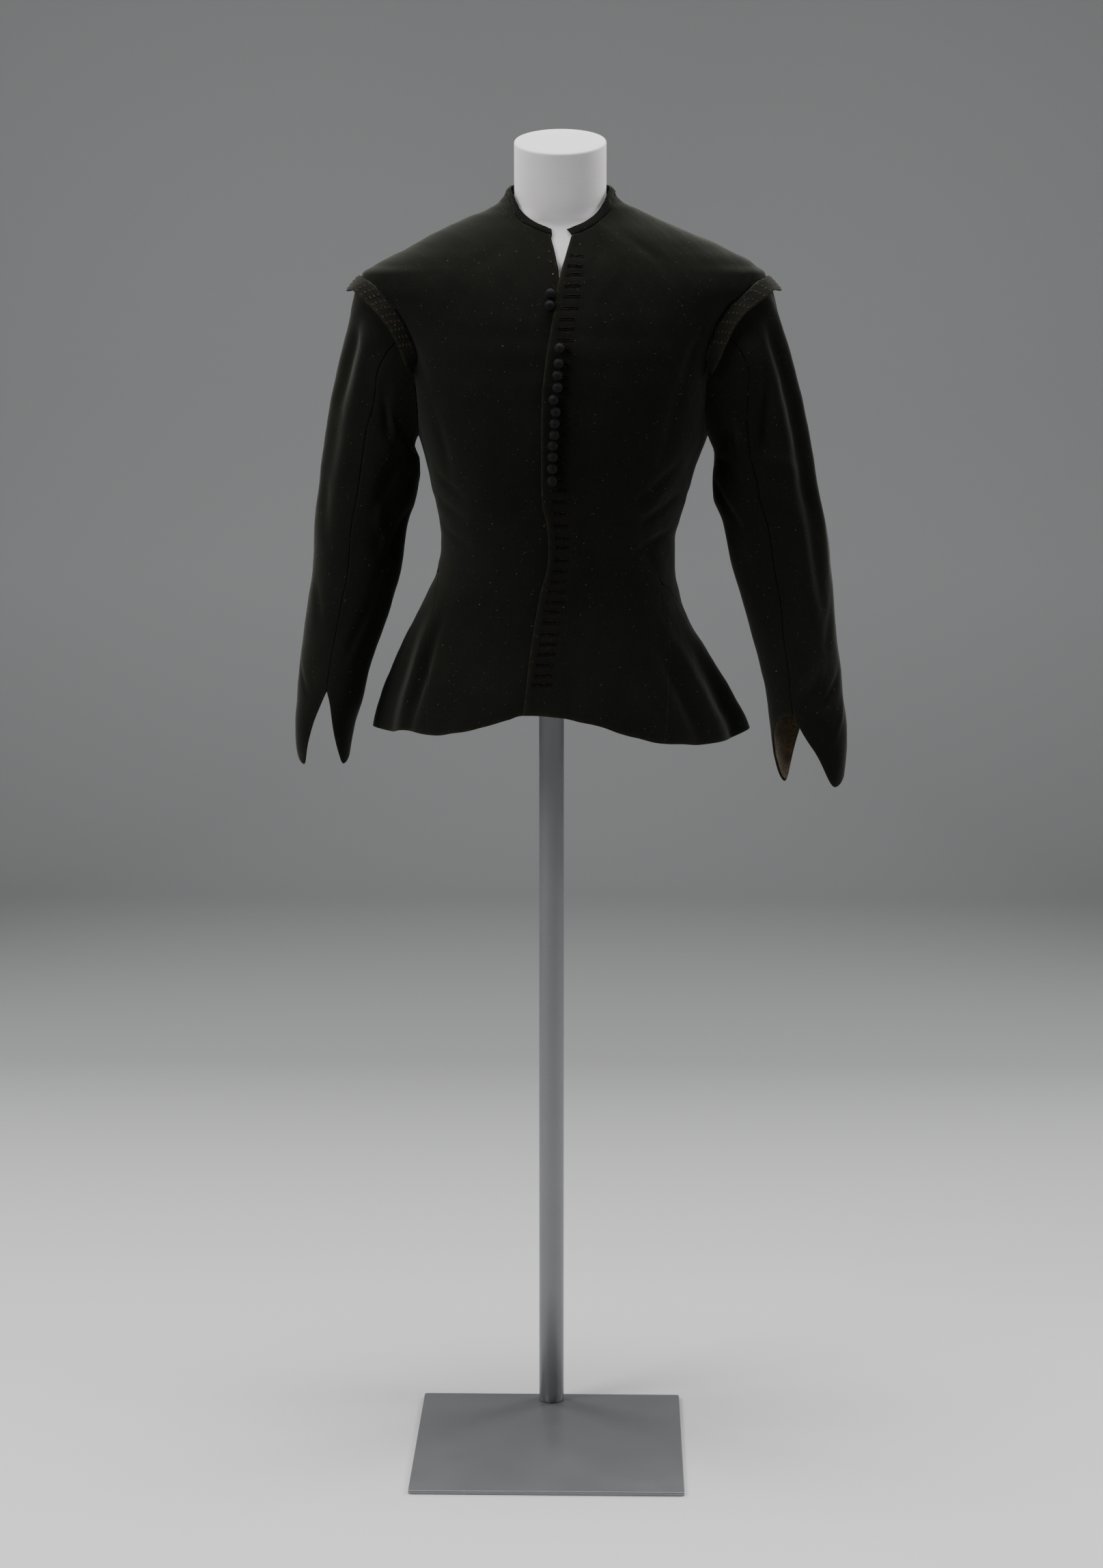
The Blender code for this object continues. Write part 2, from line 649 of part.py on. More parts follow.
def make_back(material, home):
    """The back, in one piece from side seam to side seam."""
    halves = []
    rows = SKIRT_ROWS + SIDE_ROWS + ARMHOLE_ROWS - NECK_ROWS
    for side in (-1, 1):
        apex = APEX[side]
        seam = join(seam_line(read_side_seam, side, apex, side * SEAM_TURN),
                    side_line(side, side * SEAM_TURN, apex), armhole_line(side, behind=True))
        seam[0][-1] += side * SEAM_TURN
        neck = neck_line(side, 180, 90)
        neck[0][-1] += side * SEAM_TURN
        level = np.linspace(hem_height(np.array([math.pi]))[0], neck[1][0], rows + 1)
        middle = join((np.full(rows + 1, side * math.pi), level), neck)
        grids = patch(seam, middle, BACK_COLUMNS)
        halves.append(grids if side > 0 else [grid[:, ::-1] for grid in grids])
    return wall("back", halves, material, home)


def neck_surface(angle, height, out):
    """Point of the dress form's neck, moved out."""
    low, low_y, high, high_y = NECK_LEAN
    middle_y = low_y + (high_y - low_y) * (height - low) / (high - low)
    return np.stack([NECK_MIDDLE + (NECK_HALF_WIDTH + out) * np.sin(angle),
                     middle_y - (NECK_HALF_DEPTH + out) * np.cos(angle), height + 0 * angle], axis=-1)


def make_neckband(material, home):
    """The narrow neckband, from the right front's end round the back to the left front's end."""
    stops = (-NECK_START[-1], -90, -180, -270, NECK_START[1] - 360)
    way = np.concatenate([stops[:1]] + [np.linspace(first, last, NECK_ROWS + 1)[1:]
                                        for first, last in zip(stops, stops[1:])])
    side = np.where(way > -180, -1.0, 1.0)
    row = read_neckline(180 - np.abs(way + 180))
    angle, low, high = side * np.radians(row[..., 0]), row[..., 1], row[..., 2]
    foot = torso(angle, low)
    top = neck_surface(np.radians(way), high, BAND_FREE + BAND_WALL)
    outward = unit(np.cross(np.gradient(foot, axis=0), top - foot))
    outward *= np.sign(np.sum(outward * (foot - foot.mean(axis=0)), axis=-1))[:, None]
    directions = np.stack([torso_normal(angle, low), outward, outward])
    foot = foot + np.array([0, 0, SEAM])
    grid = np.stack([foot, (foot + top) / 2, top])
    return wall("neckband", ((grid, grid - directions * BAND_WALL),), material, home)


def armhole_loop(side, turn):
    """Points of the armhole seam by the angle round the sleeve, which is 0 at the shoulder tip."""
    height = (TIP + ARMPIT) / 2 + (TIP - ARMPIT) / 2 * np.cos(turn)
    share = read_armhole(height)[..., 0]
    square = read_torso(height)[..., 4]
    angle = np.arcsin(np.clip(share, 0, 1) ** (square / 2))
    angle = np.where(np.sin(turn) < 0, math.pi - angle, angle)
    point = torso(side * angle, height) + torso_normal(side * angle, height) * SLEEVE_LIFT
    aim = np.array([side * SLEEVE_AIM + (point[..., 0].max() + point[..., 0].min()) / 2, 0.0,
                    (TIP + ARMPIT) / 2])
    return point + unit(aim - point) * SLEEVE_START


def sleeve(side, turn, ring):
    """Point of a sleeve's outer surface. The turn is 0 outside and a quarter circle in front."""
    turn, ring = np.broadcast_arrays(turn, ring)
    row = np.moveaxis(read_sleeve[side](ring), -1, 0)
    outer_x, outer_z, inner_x, inner_z, middle_y, half_depth = row[:6]
    swing = signed_power(np.cos(turn), 2 / SLEEVE_SQUARENESS)
    out = signed_power(np.sin(turn), 2 / SLEEVE_SQUARENESS)
    point = np.stack([(outer_x + inner_x) / 2 + (outer_x - inner_x) / 2 * swing,
                      middle_y - half_depth * out,
                      (outer_z + inner_z) / 2 + (outer_z - inner_z) / 2 * swing], axis=-1)
    joined = (1 - ease(ring / SLEEVE_JOIN_ROWS))[..., None]
    return armhole_loop(side, turn) * joined + point * (1 - joined)


def sleeve_normal(side, turn, ring):
    """Outward direction of a sleeve's surface."""
    round_it = sleeve(side, turn + TURN_STEP, ring) - sleeve(side, turn - TURN_STEP, ring)
    low, high = np.clip(ring - RING_STEP, 0, None), np.clip(ring + RING_STEP, None, TIP_RING)
    down_it = sleeve(side, turn, high) - sleeve(side, turn, low)
    return unit(np.cross(round_it, down_it)) * side


def sleeve_fold_rise(side, turn, ring):
    """How far a sleeve's soft folds stand out."""
    total = np.zeros(np.broadcast(turn, ring).shape)
    for centre, width, rise, first, last in SLEEVE_FOLDS[side]:
        away = (np.degrees(turn) - centre + 180) % 360 - 180
        reach = ease((ring - first) / FOLD_RINGS_IN) * ease((last - ring) / FOLD_RINGS_OUT)
        total += rise * np.exp(-(away / width) ** 2) * reach
    return total


def tab_shape(side, outer_piece, share):
    """How far down a cuff tab reaches at shares across it, with a blunt point."""
    if (side, outer_piece) not in TABS:
        return (1 - np.abs(2 * share - 1)) ** TIP_ROUNDNESS
    point, first_power, last_power = TABS[side, outer_piece]
    away = np.where(share < point, (point - share) / point, (share - point) / (1 - point))
    blunt = (TIP_MOST - np.hypot(away, TIP_BLUNT)) / (TIP_MOST - TIP_BLUNT)
    return blunt.clip(0, 1) ** np.where(share < point, first_power, last_power)


def sleeve_grid(side, outer_piece, first_ring, hem_back):
    """Angles and rings of one sleeve piece, which ends in a point between two notches."""
    share = np.linspace(0, 1, SLEEVE_COLUMNS + 1)
    peak = tab_shape(side, outer_piece, share)
    last = NOTCH_RING[side] + (TIP_RING - NOTCH_RING[side]) * peak - hem_back
    rows = np.linspace(0, 1, SLEEVE_ROWS + 1)[:, None]
    ring = first_ring + (last - first_ring) * rows
    seams = np.radians(read_sleeve[side](ring)[..., 6:8])
    if outer_piece:
        start, end = -seams[..., 1] + SLEEVE_SEAM_TURN, seams[..., 0] - SLEEVE_SEAM_TURN
    else:
        start = seams[..., 0] + SLEEVE_SEAM_TURN
        end = 2 * math.pi - seams[..., 1] - SLEEVE_SEAM_TURN
    return start + (end - start) * share, ring


def make_sleeve_piece(side, outer_piece, material, home):
    """One of the two pieces of a sleeve, ending in a pointed tab between two notches."""
    turn, ring = sleeve_grid(side, outer_piece, 0.0, 0.0)
    normal = sleeve_normal(side, turn, ring)
    outer = sleeve(side, turn, ring) + normal * sleeve_fold_rise(side, turn, ring)[..., None]
    name = "sleeve_%s_%s" % ("right" if side < 0 else "left", "outer" if outer_piece else "inner")
    return wall(name, ((outer, outer - normal * SLEEVE_WALL),), material, home)


def make_cuff_lining(material, home):
    """The lining inside the inner tab of the wearer's left cuff."""
    turn, ring = sleeve_grid(LINING_SIDE, False, LINING_FIRST_RING, LINING_HEM_BACK)
    turn, ring = turn[::LINING_EVERY], ring[::LINING_EVERY]
    normal = sleeve_normal(LINING_SIDE, turn, ring)
    outer = sleeve(LINING_SIDE, turn, ring) - normal * (SLEEVE_WALL + CONTACT * 2)
    return wall("cuff_lining_left", ((outer, outer - normal * LINING_WALL),), material, home)


def make_wing(side, material, home):
    """The stiff band that stands over a sleeve head."""
    steps = np.arange(-90, 91, 180 / SLEEVE_COLUMNS)
    turn = np.radians(np.concatenate([[-WING_REACH], steps, [WING_REACH]]))
    rings = np.linspace(0, WING_LAST_RING, WING_STEPS)[:, None]
    line = sleeve(side, turn, rings)
    length = np.concatenate([np.zeros((1, len(turn))),
                             np.cumsum(np.linalg.norm(np.diff(line, axis=0), axis=-1), axis=0)])
    width = np.full(len(turn), WING_WIDTH)
    width[[0, -1]] = WING_END_WIDTH
    share = np.linspace(0, 1, WING_ROWS + 1)
    ring = np.array([[np.interp(width[column] * part, length[:, column], rings[:, 0])
                      for column in range(len(turn))] for part in share])
    turn_grid = np.broadcast_to(turn, ring.shape)
    normal = sleeve_normal(side, turn_grid, ring)
    rise = WING_SEAM_RISE + (WING_EDGE_RISE - WING_SEAM_RISE) * share[:, None]
    rise = rise + sleeve_fold_rise(side, turn_grid, ring).clip(0)
    inner = sleeve(side, turn_grid, ring) + normal * rise[..., None]
    name = "wing_right" if side < 0 else "wing_left"
    return wall(name, ((inner + normal * WING_WALL, inner),), material, home)


def make_button(number, height, x, lapped, material, home):
    """A ball button that touches the cloth below it."""
    angle = torso_angle(np.array([x]), np.array([height]))
    surface, _ = body_wall(angle, np.array([height]), lapped)
    centre = surface[0] + torso_normal(angle, np.array([height]))[0] * (BUTTON_RADIUS + BUTTON_GAP)
    bpy.ops.mesh.primitive_uv_sphere_add(segments=BUTTON_SEGMENTS, ring_count=BUTTON_RINGS,
                                         radius=BUTTON_RADIUS, location=tuple(centre),
                                         rotation=(math.pi / 2, 0, 0))
    item = bpy.context.object
    item.name = "button_%02d" % number
    item.data.materials.append(material)
    item.data.shade_smooth()
    rehome(item, home)
    return item


def rehome(item, home):
    """Keep an object in one collection only."""
    for collection in list(item.users_collection):
        collection.objects.unlink(item)
    home.objects.link(item)


def make_form(material, home):
    """The smooth dress form, from its flat underside to its tilted neck cap."""
    angle = np.radians(np.arange(FORM_SIDES) * 360 / FORM_SIDES)
    rings = []
    for height in FORM_LEVELS:
        level = np.full(FORM_SIDES, height)
        sloping = ease((height - FORM_SLOPE_FROM) / (FORM_SLOPE_FULL - FORM_SLOPE_FROM))
        inward = unit(torso_normal(angle, level) * np.array([1, 1, sloping]))
        body = torso(angle, level) - inward * read_inset(level)
        neck = neck_surface(angle, level, 0.0)
        share = ease((height - NECK_FROM) / (NECK_FULL - NECK_FROM))
        rings.append(body * (1 - share) + neck * share)
    top = neck_surface(angle, np.full(FORM_SIDES, NECK_TOP), 0.0)
    top[:, 2] += (top[:, 1] - NECK_LEAN[3]) * math.tan(NECK_CAP_TILT)
    rings.append(top)
    points = np.concatenate(rings)
    faces = []
    for ring in range(len(rings) - 1):
        for step in range(FORM_SIDES):
            low, high = ring * FORM_SIDES, (ring + 1) * FORM_SIDES
            following = (step + 1) % FORM_SIDES
            faces.append([low + step, low + following, high + following, high + step])
    faces.append(list(range(FORM_SIDES)))
    faces.append([len(points) - FORM_SIDES + step for step in range(FORM_SIDES)])
    return solid("dress_form", points, faces, material, home)


def make_pole(material, home):
    """The round pole between the foot and the form's underside."""
    low, high = PLATE_THICK + CONTACT, FORM_BOTTOM - CONTACT
    bpy.ops.mesh.primitive_cylinder_add(vertices=POLE_SIDES, radius=POLE_RADIUS, depth=high - low,
                                        location=(0, 0, (low + high) / 2))
    item = bpy.context.object
    item.name = "pole"
    item.data.materials.append(material)
    item.data.shade_smooth()
    item.data.set_sharp_from_angle(angle=SHARP_ANGLE)
    rehome(item, home)
    return item


def make_plate(material, home):
    """The flat square foot, with the pole near its back edge."""
    bpy.ops.mesh.primitive_cube_add(size=1, location=(0, PLATE_BACK - PLATE_SIDE / 2, PLATE_THICK / 2))
    item = bpy.context.object
    item.name = "base_plate"
    for corner in item.data.vertices:
        corner.co.x *= PLATE_SIDE
        corner.co.y *= PLATE_SIDE
        corner.co.z *= PLATE_THICK
    item.data.materials.append(material)
    shape = bmesh.new()
    shape.from_mesh(item.data)
    upright = [edge for edge in shape.edges
               if abs(edge.verts[0].co.z - edge.verts[1].co.z) > PLATE_THICK / 2]
    bmesh.ops.bevel(shape, geom=upright, offset=PLATE_CORNER, segments=3, affect="EDGES",
                    profile=0.5)
    shape.to_mesh(item.data)
    shape.free()
    rehome(item, home)
    return item


def main():
    """Build every piece of the doublet and its stand."""
    clear_scene()
    materials = make_materials()
    home = bpy.data.collections.new("doublet")
    bpy.context.scene.collection.children.link(home)
    wool = materials["wool"]
    for side in (-1, 1):
        make_front(side, wool, home)
        make_gore(side, wool, home)
        make_sleeve_piece(side, True, wool, home)
        make_sleeve_piece(side, False, wool, home)
        make_wing(side, wool, home)
    make_back(wool, home)
    make_neckband(wool, home)
    make_cuff_lining(materials["linen_lining"], home)
    thread = materials["button_thread"]
    places = [(height, x, False) for height, x in UNFASTENED]
    places += [(height, x, True) for height, x in FASTENED]
    for number, (height, x, lapped) in enumerate(places, start=1):
        make_button(number, height, x, lapped, thread, home)
    make_form(materials["form_cover"], home)
    make_pole(materials["stand_paint"], home)
    make_plate(materials["stand_paint"], home)


main()
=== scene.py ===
"""Looks of a man's wool doublet of about 1620 on its dress form.

Each cloth piece is built again as a fine shell on the body surface or the sleeve surface that its
solid lies on, with its creases, rolled edges, seams, buttonholes and stitches.
Front is -Y, the wearer's left is +X. Sizes are metres unless a name says otherwise.
"""
import math

import bmesh
import bpy
import numpy as np
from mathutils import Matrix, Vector, kdtree


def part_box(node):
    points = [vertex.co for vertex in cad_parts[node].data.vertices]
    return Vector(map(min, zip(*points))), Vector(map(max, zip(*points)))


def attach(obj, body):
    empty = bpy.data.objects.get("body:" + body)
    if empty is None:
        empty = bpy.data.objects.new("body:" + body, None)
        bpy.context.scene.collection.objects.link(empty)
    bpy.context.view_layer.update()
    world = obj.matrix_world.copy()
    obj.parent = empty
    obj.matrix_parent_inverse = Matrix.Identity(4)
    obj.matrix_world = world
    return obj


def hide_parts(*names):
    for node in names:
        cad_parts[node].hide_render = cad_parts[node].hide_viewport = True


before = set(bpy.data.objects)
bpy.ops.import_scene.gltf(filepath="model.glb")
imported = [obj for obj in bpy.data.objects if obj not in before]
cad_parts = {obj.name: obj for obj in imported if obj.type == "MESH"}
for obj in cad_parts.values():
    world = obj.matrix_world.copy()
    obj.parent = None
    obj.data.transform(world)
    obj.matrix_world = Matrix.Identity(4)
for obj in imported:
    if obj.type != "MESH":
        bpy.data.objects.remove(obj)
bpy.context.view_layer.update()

# Cloth and seams
WALL = 0.0022
SLEEVE_WALL = 0.0018
LINING_WALL = 0.0009
SEAM_TURN = 0.0013
SLEEVE_SEAM_TURN = 0.0039
SEAM = 0.0004
POINTS_MEET = 5e-6
CONTACT = 0.0003
LAP_LIFT = 0.0034
LAP_FULL, LAP_END = 0.026, 0.062
LAP_LOW, LAP_HIGH = 1.452, 1.500

# Dress form
FORM_BOTTOM = 0.960
NECK_HALF_WIDTH, NECK_HALF_DEPTH = 0.0583, 0.0573
NECK_MIDDLE = 0.0113
NECK_LEAN = (1.52, -0.002, 1.633, -0.012)
NECK_FROM, NECK_FULL = 1.522, 1.548
FORM_SLOPE_FROM, FORM_SLOPE_FULL = 1.30, 1.42
NECK_TOP, NECK_CAP_TILT = 1.6345, math.radians(18)
FORM_INSET = (
    # height, how far the form lies inside the cloth's outer face
    (0.940, 0.036),
    (1.000, 0.022),
    (1.050, 0.012),
    (1.100, 0.009),
    (1.300, 0.008),
    (1.440, 0.008),
    (1.464, 0.0105),
    (1.482, 0.0044),
    (1.525, 0.0041),
    (1.545, 0.012),
    (1.570, 0.018),
)

# The body surface, as level rings
TORSO = (
    # height, right side, left side, front, back, squareness
    (0.860, -0.2330, 0.2570, -0.1630, 0.1700, 2.05),
    (0.890, -0.2265, 0.2500, -0.1580, 0.1630, 2.05),
    (0.925, -0.2174, 0.2330, -0.1520, 0.1540, 2.10),
    (0.960, -0.2043, 0.2148, -0.1460, 0.1430, 2.10),
    (0.995, -0.1904, 0.1948, -0.1400, 0.1310, 2.15),
    (1.029, -0.1748, 0.1745, -0.1340, 0.1190, 2.20),
    (1.064, -0.1574, 0.1630, -0.1290, 0.1090, 2.20),
    (1.099, -0.1440, 0.1578, -0.1260, 0.1010, 2.25),
    (1.125, -0.1412, 0.1575, -0.1250, 0.0980, 2.25),
    (1.151, -0.1428, 0.1626, -0.1260, 0.0980, 2.30),
    (1.186, -0.1504, 0.1739, -0.1290, 0.1010, 2.30),
    (1.221, -0.1574, 0.1826, -0.1320, 0.1050, 2.30),
    (1.262, -0.1690, 0.1985, -0.1350, 0.1100, 2.30),
    (1.300, -0.1800, 0.2070, -0.1360, 0.1140, 2.30),
    (1.350, -0.1930, 0.2195, -0.1330, 0.1170, 2.30),
    (1.390, -0.2060, 0.2330, -0.1260, 0.1170, 2.30),
    (1.430, -0.2280, 0.2560, -0.1140, 0.1130, 2.30),
    (1.452, -0.2400, 0.2710, -0.1060, 0.1090, 2.30),
    (1.464, -0.2405, 0.2715, -0.1010, 0.1060, 2.30),
    (1.477, -0.2260, 0.2600, -0.0950, 0.1030, 2.25),
    (1.498, -0.1870, 0.2235, -0.0840, 0.0960, 2.20),
    (1.519, -0.1480, 0.1765, -0.0700, 0.0890, 2.15),
    (1.540, -0.1035, 0.1280, -0.0530, 0.0810, 2.10),
    (1.550, -0.0790, 0.1075, -0.0475, 0.0770, 2.10),
    (1.561, -0.0640, 0.0880, -0.0420, 0.0725, 2.05),
    (1.570, -0.0583, 0.0815, -0.0360, 0.0685, 2.00),
    (1.582, -0.0535, 0.0765, -0.0330, 0.0650, 2.00),
)

# The hem, right round, from the middle of the back by the wearer's right to the back again
HEM_GUESS, HEM_ROUNDS = 0.890, 3
HEM = (
    # degrees from the front, height
    (-180, 0.886),
    (-130, 0.886),
    (-88, 0.891),
    (-65, 0.8913),
    (-54, 0.8955),
    (-43, 0.8930),
    (-33, 0.8974),
    (-22, 0.9070),
    (-14, 0.9167),
    (-8.5, 0.9220),
    (0, 0.9200),
    (7, 0.9140),
    (12.5, 0.9090),
    (18.5, 0.9000),
    (23.5, 0.8940),
    (33, 0.8850),
    (39, 0.8836),
    (48.5, 0.8810),
    (61, 0.8827),
    (88, 0.8890),
    (130, 0.8860),
    (180, 0.8860),
)

# The closing edges of the two fronts
CLOSING_FOOT = 0.920
CLOSING = (
    # height, left front's edge, right front's edge
    (0.860, -0.0370, -0.0170),
    (0.922, -0.0315, -0.0115),
    (0.951, -0.0282, -0.0082),
    (1.0075, -0.0214, -0.0014),
    (1.0655, -0.0122, 0.0078),
    (1.127, -0.0010, 0.0190),
    (1.154, -0.0029, 0.0171),
    (1.198, -0.0097, 0.0103),
    (1.268, -0.0097, 0.0103),
    (1.311, -0.0088, 0.0112),
    (1.340, -0.0063, 0.0125),
    (1.3885, 0.0004, 0.0145),
    (1.419, 0.0055, 0.0145),
    (1.445, 0.0088, 0.0130),
    (1.4615, 0.0122, 0.0116),
    (1.488, 0.0190, 0.0072),
    (1.514, 0.0262, 0.0004),
)

# The neckline, from the middle of the front to the middle of the back, alike on both sides
NECKLINE = (
    # degrees round the neck, degrees round the body, seam height, height of the band's upper edge
    (0, 0.0, 1.5130, 1.5210),
    (9, 3.5, 1.5150, 1.5232),
    (14, 5.5, 1.5170, 1.5255),
    (39, 17.5, 1.5290, 1.5385),
    (63, 43.0, 1.5510, 1.5600),
    (75, 62.0, 1.5620, 1.5695),
    (90, 90.0, 1.5700, 1.5768),
    (135, 135.0, 1.5745, 1.5825),
    (180, 180.0, 1.5780, 1.5860),
)
NECK_START = {-1: 9.0, 1: 8.0}
BAND_FREE = 0.0036
BAND_WALL = 0.0020

# The armhole: a level cuts it at this share of the body's half width, in front and behind
ARMPIT, TIP = 1.262, 1.464
ARMHOLE = (
    # height, share of the half width
    (1.262, 1.000),
    (1.275, 0.968),
    (1.300, 0.935),
    (1.335, 0.905),
    (1.353, 0.885),
    (1.371, 0.868),
    (1.390, 0.868),
    (1.413, 0.873),
    (1.435, 0.891),
    (1.452, 0.925),
    (1.464, 1.000),
)

# Hip gores, let into a slash of each front. The key is the wearer's side: -1 right, 1 left.
APEX = {-1: 1.0955, 1: 1.0840}
GORE_FRONT = {
    # height, degrees from the front
    -1: ((0.860, 42.0), (0.894, 43.4), (0.942, 46.8), (0.975, 50.8), (1.0115, 55.3),
         (1.038, 59.7), (1.064, 66.7), (1.0955, 82.0)),
    1: ((0.860, 31.0), (0.889, 32.8), (0.910, 35.0), (0.955, 41.8), (1.0085, 51.3),
        (1.035, 55.1), (1.084, 57.9)),
}
GORE_BACK = {
    # height, degrees from the front
    -1: ((0.860, 114.0), (0.930, 109.0), (0.980, 104.0), (1.030, 97.0), (1.070, 90.0),
         (1.0955, 82.0)),
    1: ((0.860, 115.0), (0.930, 109.0), (0.980, 101.0), (1.030, 88.0), (1.053, 78.0),
        (1.0645, 69.0), (1.084, 57.9)),
}
SIDE_SEAM = (
    # height, degrees from the front
    (0.860, 130.0),
    (0.950, 122.0),
    (1.000, 115.0),
    (1.050, 109.0),
    (1.100, 106.0),
    (1.200, 102.0),
    (1.262, 90.0),
)

# Soft folds of the skirts and gores
FOLDS = (
    # degrees from the front, width in degrees, rise, top height, lean in degrees a metre down
    (-50.0, 3.2, -0.0090, 1.055, -18.0),
    (-59.0, 4.5, 0.0060, 1.075, 30.0),
    (-70.0, 5.0, -0.0045, 1.070, 25.0),
    (-81.0, 5.0, 0.0050, 1.060, 10.0),
    (-96.0, 6.0, -0.0060, 1.060, -10.0),
    (-112.0, 7.0, 0.0060, 1.060, -20.0),
    (-26.0, 7.0, 0.0035, 1.000, 10.0),
    (-11.0, 5.0, -0.0030, 0.990, 0.0),
    (16.0, 6.0, -0.0040, 1.000, 5.0),
    (27.0, 5.0, 0.0045, 1.010, 10.0),
    (43.0, 4.0, -0.0060, 1.040, 30.0),
    (54.0, 5.0, 0.0055, 1.050, 10.0),
    (67.0, 5.0, -0.0050, 1.040, 0.0),
    (80.0, 6.0, 0.0060, 1.030, 0.0),
    (99.0, 6.0, -0.0060, 1.040, 15.0),
    (116.0, 7.0, 0.0060, 1.050, 20.0),
    (140.0, 8.0, -0.0060, 1.040, 10.0),
    (160.0, 7.0, 0.0050, 1.040, 0.0),
    (-140.0, 8.0, -0.0060, 1.040, -10.0),
    (-162.0, 7.0, 0.0050, 1.040, 0.0),
)
FOLD_FADE = 0.120

# Sleeves, as rings from the armhole down. Each ring leans from an outer to an inner point.
SLEEVES = {
    -1: (
        # ring, outer x, outer z, inner x, inner z, middle y, half depth, front seam, back seam
        (0, -0.2405, 1.464, -0.1690, 1.262, 0.000, 0.0740, 72, 90),
        (1, -0.2500, 1.448, -0.1740, 1.254, 0.000, 0.0740, 79, 90),
        (2, -0.2560, 1.415, -0.1745, 1.247, 0.000, 0.0720, 87, 90),
        (3, -0.2650, 1.377, -0.1720, 1.239, 0.000, 0.0690, 88, 90),
        (4, -0.2750, 1.335, -0.1685, 1.230, 0.000, 0.0670, 86, 90),
        (5, -0.2830, 1.295, -0.1680, 1.217, 0.001, 0.0650, 84, 90),
        (6, -0.2910, 1.245, -0.1700, 1.200, 0.002, 0.0630, 84, 90),
        (7, -0.2975, 1.195, -0.1750, 1.175, 0.002, 0.0610, 84, 90),
        (8, -0.3025, 1.150, -0.1850, 1.145, 0.000, 0.0590, 84, 90),
        (9, -0.3045, 1.100, -0.1905, 1.100, -0.005, 0.0570, 84, 90),
        (10, -0.3100, 1.060, -0.2000, 1.060, -0.012, 0.0540, 84, 90),
        (11, -0.3155, 1.010, -0.2160, 1.010, -0.022, 0.0500, 85, 90),
        (12, -0.3205, 0.965, -0.2310, 0.965, -0.033, 0.0460, 87, 90),
        (13, -0.3225, 0.930, -0.2390, 0.930, -0.041, 0.0430, 88, 90),
        (14, -0.3240, 0.890, -0.2500, 0.890, -0.048, 0.0400, 88, 90),
        (15, -0.3200, 0.850, -0.2560, 0.850, -0.052, 0.0370, 88, 90),
    ),
    1: (
        (0, 0.2715, 1.464, 0.1985, 1.262, 0.000, 0.0740, 68, 90),
        (1, 0.2810, 1.448, 0.2015, 1.255, 0.000, 0.0740, 76, 90),
        (2, 0.2890, 1.415, 0.2045, 1.249, 0.000, 0.0720, 88, 90),
        (3, 0.3010, 1.377, 0.2065, 1.243, 0.000, 0.0690, 97, 90),
        (4, 0.3120, 1.335, 0.2075, 1.235, 0.000, 0.0670, 103, 90),
        (5, 0.3220, 1.295, 0.2070, 1.225, 0.001, 0.0650, 104, 90),
        (6, 0.3320, 1.245, 0.2055, 1.208, 0.002, 0.0630, 101, 90),
        (7, 0.3400, 1.195, 0.2065, 1.185, 0.002, 0.0610, 98, 90),
        (8, 0.3495, 1.150, 0.2190, 1.150, 0.000, 0.0590, 98, 90),
        (9, 0.3560, 1.100, 0.2290, 1.100, -0.005, 0.0570, 99, 90),
        (10, 0.3595, 1.060, 0.2410, 1.060, -0.012, 0.0540, 100, 90),
        (11, 0.3627, 1.010, 0.2550, 1.010, -0.022, 0.0500, 105, 90),
        (12, 0.3680, 0.965, 0.2670, 0.965, -0.033, 0.0460, 109, 90),
        (13, 0.3710, 0.930, 0.2735, 0.930, -0.041, 0.0430, 112, 90),
        (14, 0.3750, 0.885, 0.2790, 0.885, -0.048, 0.0400, 112, 90),
        (15, 0.3700, 0.823, 0.2890, 0.823, -0.053, 0.0370, 112, 90),
    ),
}
SLEEVE_SQUARENESS = 2.15
SLEEVE_JOIN_ROWS = 2.0
SLEEVE_START, SLEEVE_LIFT = 0.0003, 0.0008
SLEEVE_AIM = 0.075
NOTCH_RING = {-1: 12.63, 1: 13.45}
TIP_RING = 15.0
TIP_BLUNT = 0.35
TIP_MOST = math.hypot(1.0, TIP_BLUNT)
TABS = {
    # wearer's side and whether the outer piece: place of the point, power on its first side, on its last
    (-1, True): (3 / 4, 0.85, 1.0),
    (-1, False): (1 / 3, 0.85, 0.85),
    (1, True): (2 / 3, 0.85, 0.85),
    (1, False): (2 / 3, 2.4, 0.8),
}

# Soft folds of the sleeves
FOLD_RINGS_IN, FOLD_RINGS_OUT = 1.5, 2.5
SLEEVE_FOLDS = {
    -1: (
        # degrees round the sleeve, width in degrees, rise, first ring, last ring
        (40.0, 14.0, -0.0035, 1.0, 8.0),
        (62.0, 12.0, 0.0025, 2.0, 8.0),
        (120.0, 14.0, -0.0030, 3.0, 9.0),
        (-45.0, 15.0, -0.0035, 1.0, 8.0),
        (-110.0, 15.0, 0.0030, 2.0, 9.0),
    ),
    1: (
        (28.0, 10.0, 0.0050, 0.8, 10.0),
        (46.0, 9.0, -0.0060, 0.8, 9.0),
        (66.0, 10.0, 0.0050, 1.0, 11.0),
        (125.0, 12.0, -0.0050, 2.0, 7.0),
        (-30.0, 12.0, -0.0040, 1.0, 9.0),
        (-70.0, 14.0, 0.0040, 2.0, 9.0),
    ),
}

# Wings: the stiff bands over the sleeve heads
WING_WIDTH, WING_REACH = 0.023, 100.0
WING_SEAM_RISE, WING_EDGE_RISE, WING_STAND, WING_WALL = 0.0006, 0.0046, 0.0036, 0.0030

# Cuff lining of the wearer's left sleeve, the only lining that shows
LINING_SIDE, LINING_FIRST_RING = 1, 11.0
LINING_HEM_BACK = 0.05

